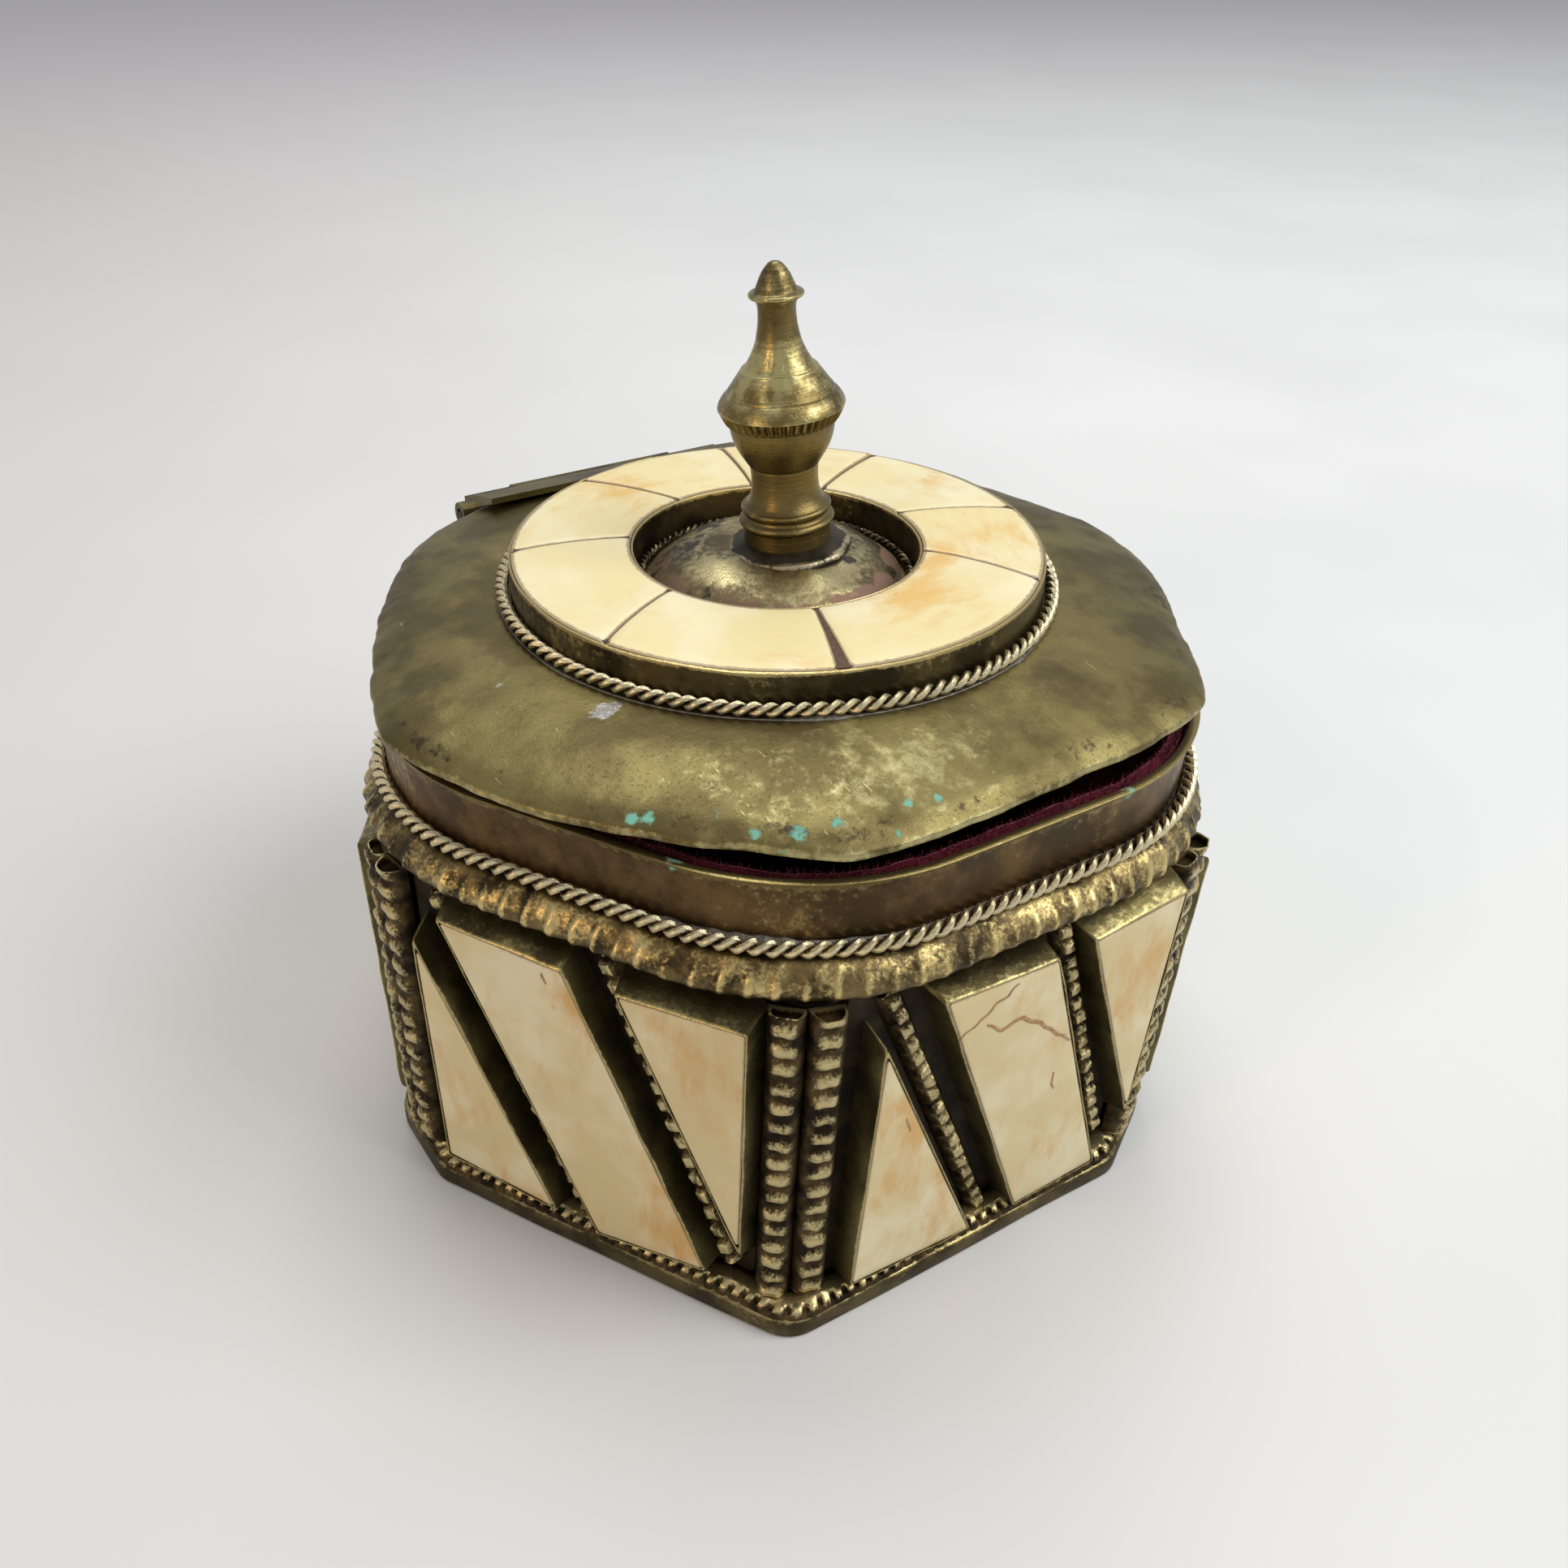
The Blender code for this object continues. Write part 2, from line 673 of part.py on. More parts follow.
def lid_lining():
    outline = rounded_hexagon(LID_LINING_APOTHEM, LINING_CORNER)
    top = LID_SEAT - LID_RISE - LID_THICKNESS - GAP
    low = top - LID_LINING_THICKNESS
    velvet(cut_sheet("lid_lining", [outline], low, top, LID_LINING_THICKNESS / 4), moving=True)


def drum():
    """A round tray for the bone ring: outer wall, floor and the wall of the well."""
    outer = DRUM_RADIUS
    inner = DRUM_INNER_RADIUS
    floor = DRUM_BOTTOM + DRUM_WALL
    profile = (
        (outer - DRUM_WALL, DRUM_TOP),
        (outer, DRUM_TOP),
        (outer, DRUM_BOTTOM),
        (inner, DRUM_BOTTOM),
        (inner, DRUM_TOP),
        (inner + DRUM_WALL, DRUM_TOP),
        (inner + DRUM_WALL, floor),
        (outer - DRUM_WALL, floor),
    )
    old_brass(lathe("drum", profile, closed=True), moving=True)


def circle_path(radius, z, steps=SPIN_STEPS):
    turns = [math.radians(360.0) * step / steps for step in range(steps)]
    return [(radius * math.cos(turn), radius * math.sin(turn), z) for turn in turns]


def lid_ropes():
    radius = DRUM_RADIUS + GAP + DRUM_ROPE_RADIUS
    path = circle_path(radius, DRUM_BOTTOM + DRUM_ROPE_RADIUS)
    brass(tube("drum_rope", path, DRUM_ROPE_RADIUS), moving=True)
    radius = DRUM_INNER_RADIUS - GAP - INNER_ROPE_RADIUS
    path = circle_path(radius, BOSS_BOTTOM + INNER_ROPE_RADIUS)
    brass(tube("well_rope", path, INNER_ROPE_RADIUS), moving=True)


def ring_segments():
    """Bone segments of the ring, between seams at uneven angles; one seam is a wide wedge."""
    inner = DRUM_INNER_RADIUS + DRUM_WALL + GAP
    outer = DRUM_RADIUS - DRUM_WALL - GAP
    low = DRUM_BOTTOM + DRUM_WALL + GAP
    high = DRUM_TOP + RING_PROUD
    count = len(SEAM_DEGREES)
    for number in range(count):
        start = math.radians(SEAM_DEGREES[number])
        end = math.radians(SEAM_DEGREES[(number + 1) % count])
        if end < start:
            end += math.radians(360.0)
        if number == WEDGE_SEAM:
            start += math.radians(WEDGE_DEGREES)
        outline = []
        steps = max(2, round(math.degrees(end - start) / SEGMENT_DEGREES))
        for radius, turns in ((outer, range(steps + 1)), (inner, range(steps, -1, -1))):
            ease = RING_SEAM / 2 / radius
            for step in turns:
                turn = start + ease + (end - start - 2 * ease) * step / steps
                outline.append((radius * math.cos(turn), radius * math.sin(turn)))
        segment = cut_sheet(f"ring_segment_{number + 1}", [outline], low, high, RING_EDGE)
        bone(segment, moving=True)


def boss():
    """Convex disc in the well, with the solder ring that holds the finial."""
    rise = BOSS_HEIGHT - BOSS_THICKNESS - SOLDER_HEIGHT
    rim = BOSS_BOTTOM + BOSS_THICKNESS
    hole = STUD_RADIUS + GAP
    profile = [(hole, BOSS_TOP), (SOLDER_RADIUS - SOLDER_HEIGHT, BOSS_TOP)]
    for share in BOSS_SHARES:
        radius = SOLDER_RADIUS + (BOSS_RADIUS - SOLDER_RADIUS) * share
        profile.append((radius, rim + rise * (1.0 - share * share)))
    profile += [(BOSS_RADIUS, BOSS_BOTTOM), (hole, BOSS_BOTTOM)]
    finish(lathe("boss", profile, closed=True), COPPER, 1.0, 0.4, moving=True)


def finial():
    """Turned finial with its stud, from the tip down the outer side."""
    profile = [(0.0, FINIAL_BOTTOM + FINIAL_HEIGHT)]
    for across, up in FINIAL_SHARES:
        profile.append((FINIAL_RADIUS * across, FINIAL_BOTTOM + FINIAL_HEIGHT * up))
    profile.append((STUD_RADIUS, FINIAL_BOTTOM))
    profile.append((STUD_RADIUS, FINIAL_BOTTOM - STUD_LENGTH))
    profile.append((0.0, FINIAL_BOTTOM - STUD_LENGTH))
    brass(lathe("finial", profile, closed=False, steps=FINIAL_STEPS), moving=True)


def finial_nut():
    top = LID_SEAT - LID_THICKNESS - GAP
    low = top - NUT_HEIGHT
    hole = STUD_RADIUS + GAP
    profile = ((hole, top), (NUT_RADIUS, top), (NUT_RADIUS, low), (hole, low))
    old_brass(lathe("finial_nut", profile, closed=True, steps=6), moving=True)


def along_x(name, loops, low, high):
    """Outlines in Y and Z, extruded along X."""
    obj = cut_sheet(name, loops, low, high)
    columns = (Vector((0.0, 1.0, 0.0)), Vector((0.0, 0.0, 1.0)), Vector((1.0, 0.0, 0.0)))
    obj.data.transform(Matrix(columns).transposed().to_4x4())
    return obj


def eye(y, radius, steps):
    turns = [math.radians(360.0) * step / steps for step in range(steps)]
    return [(y + radius * math.cos(turn), HINGE_Z + radius * math.sin(turn)) for turn in turns]


def hinge_body():
    """The box's leaf: a bracket on the collar that carries the two end knuckles."""
    half = HINGE_WIDTH / 2
    middle = KNUCKLE_WIDTH / 2
    bore = PIN_RADIUS + GAP
    face = COLLAR_APOTHEM + COLLAR_LIP + GAP
    low = ROPE_Z + ROPE_RADIUS + GAP
    high = HINGE_Z - KNUCKLE_RADIUS - GAP
    leaf = [
        (face, low),
        (face + LEAF_THICKNESS, low),
        (face + LEAF_THICKNESS, high - 2 * LEAF_THICKNESS),
        (BARREL_Y, high - LEAF_THICKNESS),
        (BARREL_Y, high),
        (face, high),
    ]
    body = along_x("hinge_leaf_body", [leaf], -half, half)
    web = [
        (BARREL_Y - LEAF_THICKNESS / 2, high - LEAF_THICKNESS / 2),
        (BARREL_Y - LEAF_THICKNESS / 4, high - LEAF_THICKNESS / 2),
        (BARREL_Y + LEAF_THICKNESS / 4, HINGE_Z - bore - LEAF_THICKNESS / 4),
        (BARREL_Y - LEAF_THICKNESS / 2, HINGE_Z - bore - LEAF_THICKNESS / 4),
    ]
    round_eye = [eye(BARREL_Y, KNUCKLE_RADIUS, 16), eye(BARREL_Y, bore, 12)]
    pieces = []
    for start, end in ((-half, -middle - GAP), (middle + GAP, half)):
        pieces.append(along_x("knuckle", round_eye, start, end))
        pieces.append(along_x("web", [web], start, end))
    brass(join(body, pieces))


def hinge_lid():
    """The lid's leaf: it follows the sheet's slope and comes down over its edge to the middle knuckle."""
    half = HINGE_WIDTH / 2
    middle = KNUCKLE_WIDTH / 2
    bore = PIN_RADIUS + GAP
    lift = GAP + LEAF_THICKNESS
    inward = LID_APOTHEM - LID_BEND
    end = LID_SEAT_RADIUS + (inward - LID_SEAT_RADIUS) * LID_LEAF_SHARE
    places = [inward + LID_BEND / 2, inward, (inward + end) / 2, end]
    over = [(y, lid_height(min(y, inward)) + lift) for y in places]
    under = [(y, z - LEAF_THICKNESS) for y, z in over[::-1]]
    lid_leaf = along_x("hinge_leaf_lid", [over + under], -half, half)
    top = over[0][1]
    skin = LID_APOTHEM + GAP
    shoulder = HINGE_Z + bore + LEAF_THICKNESS / 4
    neck = [
        (HINGE_Y + KNUCKLE_RADIUS / 2, shoulder),
        (HINGE_Y + KNUCKLE_RADIUS / 2, HINGE_Z + KNUCKLE_RADIUS * NECK_SHARE),
        (skin + LEAF_THICKNESS + GAP, top - LEAF_THICKNESS),
        (skin + LEAF_THICKNESS / 2, top - LEAF_THICKNESS / 4),
        (inward, top - LEAF_THICKNESS / 4),
        (inward, top - LEAF_THICKNESS * NECK_SHARE),
        (skin, top - LEAF_THICKNESS * NECK_SHARE),
        (skin, shoulder),
    ]
    pieces = [
        along_x("knuckle", [eye(HINGE_Y, KNUCKLE_RADIUS, 16), eye(HINGE_Y, bore, 12)], -middle, middle),
        along_x("neck", [neck], GAP - middle, middle - GAP),
    ]
    brass(join(lid_leaf, pieces), moving=True)


def hinge_pin():
    half = HINGE_WIDTH / 2
    profile = ((0.0, half), (PIN_RADIUS, half), (PIN_RADIUS, -half), (0.0, -half))
    pin = lathe("hinge_pin", profile, closed=False, steps=12)
    turn = Matrix.Rotation(math.radians(90.0), 4, "Y")
    pin.data.transform(Matrix.Translation(HINGE_PLACE) @ turn)
    brass(pin)


clear_scene()
LID_AXIS = link("lid_axis", None)
LID_AXIS.matrix_basis = Matrix.Translation(HINGE_PLACE) @ Matrix.Rotation(-REST_ANGLE, 4, "X")
base_plate()
base_bead_strip()
body_shell()
shoulder_plate()
collar()
shoulder_bead_band()
shoulder_rope()
wall_lining()
floor_pad()
facets()
corner_bead_strips()
hinge_body()
hinge_lid()
hinge_pin()
lid_plate()
lid_lining()
drum()
lid_ropes()
ring_segments()
boss()
finial()
finial_nut()
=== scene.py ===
import json
import math

import bmesh
import bpy
import numpy as np
from mathutils import Matrix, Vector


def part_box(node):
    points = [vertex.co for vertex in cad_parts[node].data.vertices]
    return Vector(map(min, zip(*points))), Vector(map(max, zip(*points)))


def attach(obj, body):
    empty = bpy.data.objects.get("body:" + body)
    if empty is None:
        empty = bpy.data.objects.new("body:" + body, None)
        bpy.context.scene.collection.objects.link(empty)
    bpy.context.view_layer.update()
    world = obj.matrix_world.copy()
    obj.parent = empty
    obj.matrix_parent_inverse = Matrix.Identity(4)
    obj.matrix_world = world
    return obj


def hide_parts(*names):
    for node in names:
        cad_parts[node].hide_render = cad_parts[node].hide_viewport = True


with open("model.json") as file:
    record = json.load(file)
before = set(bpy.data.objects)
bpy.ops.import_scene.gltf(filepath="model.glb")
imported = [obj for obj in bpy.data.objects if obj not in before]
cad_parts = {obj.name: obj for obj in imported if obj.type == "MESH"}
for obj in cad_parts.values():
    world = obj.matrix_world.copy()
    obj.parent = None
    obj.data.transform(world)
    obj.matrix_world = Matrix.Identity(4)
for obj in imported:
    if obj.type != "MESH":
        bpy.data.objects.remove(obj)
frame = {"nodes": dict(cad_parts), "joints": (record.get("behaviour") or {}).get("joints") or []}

# Lengths are in millimetres until a surface is made, which turns them into metres.
MM = 0.001
TURN = 2 * math.pi
X, Y, Z = 0, 1, 2
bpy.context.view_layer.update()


def high(node, axis):
    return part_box(node)[1][axis] / MM


def low(node, axis):
    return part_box(node)[0][axis] / MM


# Sizes of the box, from the frame. An apothem is the distance from the axis to the middle of a side.
PLATE_APOTHEM = high("base_plate", Y)
PLATE_TOP = high("base_plate", Z)
PLATE_CORNER = 6.4
FOOT_TOOTH_PITCH = 1.7
FOOT_STRIP_HALF = 2.0
FOOT_STRIP_TALL = 1.25
FOOT_CUT = 3.6
FOOT_CUT_CORNERS = (180, 300)
PANEL_BACK = -high("facet_panel_1", Y)
PANEL_LOW = low("facet_panel_1", Z)
PANEL_HIGH = high("facet_panel_1", Z)
PANEL_HALF = high("facet_panel_1", X)
PANEL_THICKNESS = 0.6
BEZEL_DEPTH = -low("facet_panel_1", Y) - PANEL_BACK
BEZEL_WALL = 0.24
BEZEL_DRAFT = 0.45
BEZEL_TOP_DRAFT = 1.35
COLLAR_LOW = low("collar", Z)
RIM = high("collar", Z)
COLLAR_APOTHEM = high("collar", Y) - 0.5
COLLAR_CORNER = 28.0
COLLAR_THICKNESS = 0.8
ROPE_RADIUS = (high("shoulder_rope", Z) - low("shoulder_rope", Z)) / 2
ROPE_HEIGHT = (high("shoulder_rope", Z) + low("shoulder_rope", Z)) / 2
ROPE_APOTHEM = high("shoulder_rope", Y) - ROPE_RADIUS
ROPE_TURNS = 90
ROPE_STEPS = 14
LINING_TOP = high("wall_lining", Z)
LINING_APOTHEM = high("wall_lining", Y)
LINING_LOW = low("wall_lining", Z)
PAD_TOP = high("floor_pad", Z)
PAD_APOTHEM = high("floor_pad", Y)
PAD_SWELL = 0.15
LINING_THICKNESS = 1.5
LINING_STEP = -1.5
PILE_HAIRS = 2600
CORNER_STRIP_WIDTH = 3.9
CORNER_STRIP_HEIGHT = 1.7
CORNER_STRIP_TURN = 18.0
BEAD_PITCH = 2.8
SLANTED_STRIP_WIDTH = 3.0
SLANTED_PITCH = 2.65

# Sizes of the lid, in its own level frame.
LID_SEAT = 68.2
LID_RISE = 2.95
LID_THICKNESS = 0.9
LID_SEAT_RADIUS = 33.2
DRUM_RADIUS = 31.4
WELL_RADIUS = 16.8
DRUM_WALL = 0.6
DRUM_LOW = 68.5
DRUM_TOP = 72.7
DRUM_ROPE_RADIUS = 0.75
WELL_ROPE_RADIUS = 0.5
BOSS_RADIUS = 14.9
BOSS_LOW = 68.5
BOSS_TOP = 71.5
SOLDER_RADIUS = 6.9
FINIAL_LOW = 71.8
LID_LINING_APOTHEM = 44.3
HINGE = [value / MM for value in frame["joints"][0]["pos_m"]]
LID_SET_BACK = 1.5
LID_OPEN = math.radians(0.5)
LID_LEAN = math.radians(-0.8)
LEAN_HEIGHT = 60.0

# The facets by the angle that each faces, and the corners after them.
FACETS = {1: -90.0, 2: -30.0, 3: 30.0, 4: 90.0, 5: 150.0, 6: 210.0}

# The bezels of one facet stand further out, and show past the right side in the photograph.
BEZEL_DEPTHS = {number: BEZEL_DEPTH for number in FACETS}
BEZEL_DEPTHS[2] += 1.6

# Plaque corners on a facet, as shares of the panel's half width and of its height.
LAYOUTS = {
    1: (
        ((-0.86, 0.86), (-0.92, 0.02), (-0.12, -0.01)),
        ((-0.53, 0.94), (0.21, -0.01), (0.80, 0.0), (0.16, 0.92)),
        ((0.40, 0.93), (0.985, 0.17), (1.0, 0.96)),
        ((-0.79, 0.99), (0.03, 0.0)),
        ((0.26, 0.98), (0.89, 0.06)),
    ),
    6: (
        ((-0.91, 0.83), (-0.89, 0.04), (-0.18, 0.01)),
        ((-0.73, 0.94), (0.11, -0.01), (0.77, 0.04), (-0.01, 0.93)),
        ((0.30, 0.92), (0.975, 0.18), (0.98, 0.955)),
        ((-0.82, 0.98), (-0.03, 0.0)),
        ((0.17, 0.98), (0.885, 0.06)),
    ),
}


# Shapes

ARC_STEPS = 25
STRIP_COLUMNS = 15
WIRE_WIND = 0.5
WIRE_SECTION = 0.58


def smooth(value, start, end):
    """0 before start, 1 after end and an S curve between."""
    share = np.clip((value - start) / (end - start), 0.0, 1.0)
    return share * share * (3 - 2 * share)


def chance(number, seed=0.0):
    """A steady number from 0 to 1 for each whole number: the fraction of a large sine."""
    value = np.sin(np.asarray(number) * 12.9898 + seed * 78.233) * 43758.5453
    return value - np.floor(value)


def ripple(points, size, seed):
    """Unevenness of about 1: the sum of twelve sine waves of about that size in random directions."""
    random = np.random.default_rng(seed)
    waves = random.normal(size=(12, points.shape[-1]))
    waves /= np.linalg.norm(waves, axis=1, keepdims=True)
    waves *= TURN / size * random.uniform(0.6, 1.5, (12, 1))
    return np.sin(points @ waves.T + random.uniform(0, TURN, 12)).sum(-1) / 3.5


def spots(points, places):
    """Sum of soft round spots: each falls off with the square of the distance over its size."""
    total = np.zeros(points.shape[:-1])
    for x, y, size, strength in places:
        away = ((points[..., 0] - x) ** 2 + (points[..., 1] - y) ** 2) / size**2
        total = total + strength * np.exp(-away)
    return total


def bearing(angle):
    """The level directions at these angles."""
    return np.stack((np.cos(angle), np.sin(angle)), -1)


def outline(corners, radius, count, pace=None):
    """Walks round a convex outline with rounded corners at an even pace, or at a pace taken from another
    outline.
    Each corner is an arc about a centre set in from it by the radius. Gives places, outward directions, the
    way walked to each, the whole way and the pace."""
    corners = np.asarray(corners, float)
    after = np.roll(corners, -1, 0) - corners
    facing = np.arctan2(-after[:, 0], after[:, 1])
    before = np.roll(facing, 1)
    turn = (facing - before) % TURN
    way = bearing(before) + bearing(facing)
    centre = corners - radius * way / (1 + np.cos(turn))[:, None]
    start = before[0] + np.concatenate(([0.0], np.cumsum(turn)[:-1]))
    angle = (start[:, None] + turn[:, None] * np.linspace(0, 1, ARC_STEPS)).ravel()
    arcs = np.repeat(centre, ARC_STEPS, 0) + radius * bearing(angle)
    arcs = np.concatenate((arcs, arcs[:1]))
    angle = np.append(angle, angle[0] + TURN)
    walked = np.append(0.0, np.cumsum(np.linalg.norm(np.diff(arcs, axis=0), axis=1)))
    at = np.arange(count) * walked[-1] / count
    step = np.arange(len(arcs))
    pace = np.interp(at, walked, step) if pace is None else pace
    places = np.stack([np.interp(pace, step, arcs[:, axis]) for axis in (0, 1)], -1)
    angle = np.interp(pace, step, angle)
    return places, bearing(angle), at, walked[-1], pace


def mitred(corners, away, radius, count):
    """Outlines round one another, whose corners stay sharp: each side is moved out by its own distance, and
    the corners are where the moved sides meet.
    Their points lie on the same lines out from the first."""
    corners = np.asarray(corners, float)
    after = np.roll(corners, -1, 0) - corners
    facing = np.stack((after[:, 1], -after[:, 0]), -1) / np.linalg.norm(after, axis=1)[:, None]
    sides = np.stack((np.roll(facing, 1, 0), facing), 1)
    first = outline(corners, radius, count)
    rings = []
    for distances in away:
        distances = np.broadcast_to(distances, len(corners))
        moved = np.linalg.solve(sides, np.stack((np.roll(distances, 1), distances), -1)[..., None])[..., 0]
        rings.append(outline(corners + moved, radius, count, first[4])[0])
    return np.stack(rings), first


def hexagon(apothem, corner, count):
    """The box's rounded hexagon, walked from its corner at the left."""
    angle = np.radians(180 + 60 * np.arange(6))
    reach = apothem / math.cos(math.pi / 6)
    return outline(reach * bearing(angle), corner, count)


def circle(radius, count):
    """A circle with its outward directions and the way walked."""
    angle = TURN * np.arange(count) / count
    out = bearing(angle)
    return radius * out, out, radius * angle, TURN * radius


def carried(path, profile):
    """A profile carried round a level path: each of its points stands across the path and at its own
    height."""
    places, out = path[0], path[1]
    across = np.stack([np.broadcast_to(a, len(places)) for a, _ in profile])
    height = np.stack([np.broadcast_to(h, len(places)) for _, h in profile])
    return np.stack((places[:, 0] + out[:, 0] * across, places[:, 1] + out[:, 1] * across, height), -1)


def inward(grid, shares, height):
    """Rings that follow the grid's last ring inwards: each is that ring drawn to its middle, at a height of
    its own."""
    last = grid[-1]
    middle = last.mean(0)
    rings = middle + (last - middle) * np.asarray(shares)[:, None, None]
    rings[..., 2] = height
    return np.concatenate((grid, rings))


def eased(profile, steps):
    """A profile with more points, rounded by a curve that passes through each of its own."""
    profile = np.asarray(profile, float)
    padded = np.concatenate((2 * profile[:1] - profile[1:2], profile, 2 * profile[-1:] - profile[-2:-1]))
    share = (np.arange(steps) / steps)[:, None]
    a, b, c, d = (padded[k : len(padded) - 3 + k, None] for k in range(4))
    bow = (c - a) * share + (2 * a - 5 * b + 4 * c - d) * share**2 + (3 * b - a - 3 * c + d) * share**3
    return np.concatenate(((b + bow / 2).reshape(-1, 2), profile[-1:]))


def rope(path, height, radius, turns):
    """Two wires wound round each other. Each wire's middle circles the path at half the radius, and its own
    section is an oval, wider along the path."""
    places, out, walked, whole = path[:4]
    rings = []
    for wire in (0.0, math.pi):
        phase = (TURN * turns * walked / whole + wire)[:, None]
        angle = np.linspace(0, TURN, 8, endpoint=False)
        loose = 1 + 0.06 * np.sin(walked * 0.37 + wire)[:, None]
        across = radius * (WIRE_WIND * np.cos(phase) * loose + WIRE_SECTION * np.cos(angle))
        up = radius * (WIRE_WIND * np.sin(phase) * loose + WIRE_SECTION * np.sin(angle))
        x = places[:, :1] + out[:, :1] * across
        y = places[:, 1:] + out[:, 1:] * across
        rise = smooth(np.hypot(across, up) / radius, 0.40, 0.86)
        rings.append((np.stack((x, y, height + up), -1), rise))
    return rings


def flat_back(columns, value=0.0):
    """Two more columns, for the flat back of a strip."""
    return np.concatenate((columns, np.full((len(columns), 2), value)), 1)


def stamped(
    places, side, face, walked, width, tall, pitch, seed=0, reach=(0.26, 0.45, 0.44, 0.80), back=-0.3
):
    """A stamped bead strip. Its section is a flattened half-round; every pitch a cushion stands up from the
    ridge.
    The cushion is one S curve along the strip times one across it. Rows run along the strip."""
    u = np.linspace(-1, 1, STRIP_COLUMNS)
    cell = walked[:, None] / pitch + 0.05 * u * np.sin(0.4 * walked)[:, None]
    number = np.floor(cell)
    along = cell - number - 0.5
    off = 0.10 * (chance(number, seed + 1) - 0.5)
    cushion = (1 - smooth(np.abs(along + off), *reach[:2])) * (1 - smooth(np.abs(u + off), *reach[2:]))
    ridge = np.sqrt(1 - np.abs(u) ** 3.2)
    worn = 0.8 + 0.3 * chance(number, seed)
    pressed = 0.05 * ripple(
        np.stack((walked[:, None] + 0 * u, 0 * walked[:, None] + 3 * u), -1), 3.1, 200 + seed
    )
    up = tall * (0.60 * ridge + 0.40 * cushion * worn * (1 - 0.35 * along) + pressed * ridge)
    up = flat_back(up, back)[..., None]
    across = np.concatenate((u, (1.0, -1.0)))[:, None] * width / 2
    grid = places[:, None] + side[:, None] * across + face[:, None] * up
    rise = 0.62 * cushion * worn * (1 - 0.6 * np.abs(along)) + 0.24 * ridge
    rise = flat_back(rise)
    return cut_ends(grid, rise)


def cut_ends(grid, rise, wall=0.82, deep=0.9):
    """Ends of a strip sawn through: a bright wall of its own thickness round a hollow."""
    rows = []
    for end, inner in ((0, 1), (-1, -2)):
        middle = grid[end].mean(0)
        back = grid[inner].mean(0) - middle
        back *= deep / np.linalg.norm(back)
        rim = middle + (grid[end] - middle) * wall
        rows.append((rim + back, rim, grid[end]))
    first, last = rows
    grid = np.concatenate((first, grid, last[::-1]))
    bright = np.ones((2, rise.shape[1]))
    dark = np.zeros((1, rise.shape[1]))
    return grid, np.concatenate((dark, bright, rise, bright, dark))


def on_facet(points, degrees):
    """From a facet's own frame, along it, up and out of the panel, to the box's."""
    turn = math.radians(degrees)
    out = PANEL_BACK + points[..., 2]
    x = out * math.cos(turn) - points[..., 0] * math.sin(turn)
    y = out * math.sin(turn) + points[..., 0] * math.cos(turn)
    return np.stack((x, y, points[..., 1]), -1)


def on_lid(points, lean=LID_LEAN):
    """From the lid's own level frame to its place: set back, opened a little about the hinge, and leaning to
    the left."""
    y = points[..., 1] + LID_SET_BACK - HINGE[1]
    z = points[..., 2] - HINGE[2]
    back = HINGE[1] + y * math.cos(LID_OPEN) + z * math.sin(LID_OPEN)
    up = HINGE[2] - y * math.sin(LID_OPEN) + z * math.cos(LID_OPEN) - LEAN_HEIGHT
    x = points[..., 0] * math.cos(lean) + up * math.sin(lean)
    up = LEAN_HEIGHT - points[..., 0] * math.sin(lean) + up * math.cos(lean)
    return np.stack((x, back, up), -1)


def placed(name, data):
    """An object of the scene at the origin."""
    piece = bpy.data.objects.new(name, data)
    bpy.context.scene.collection.objects.link(piece)
    return piece


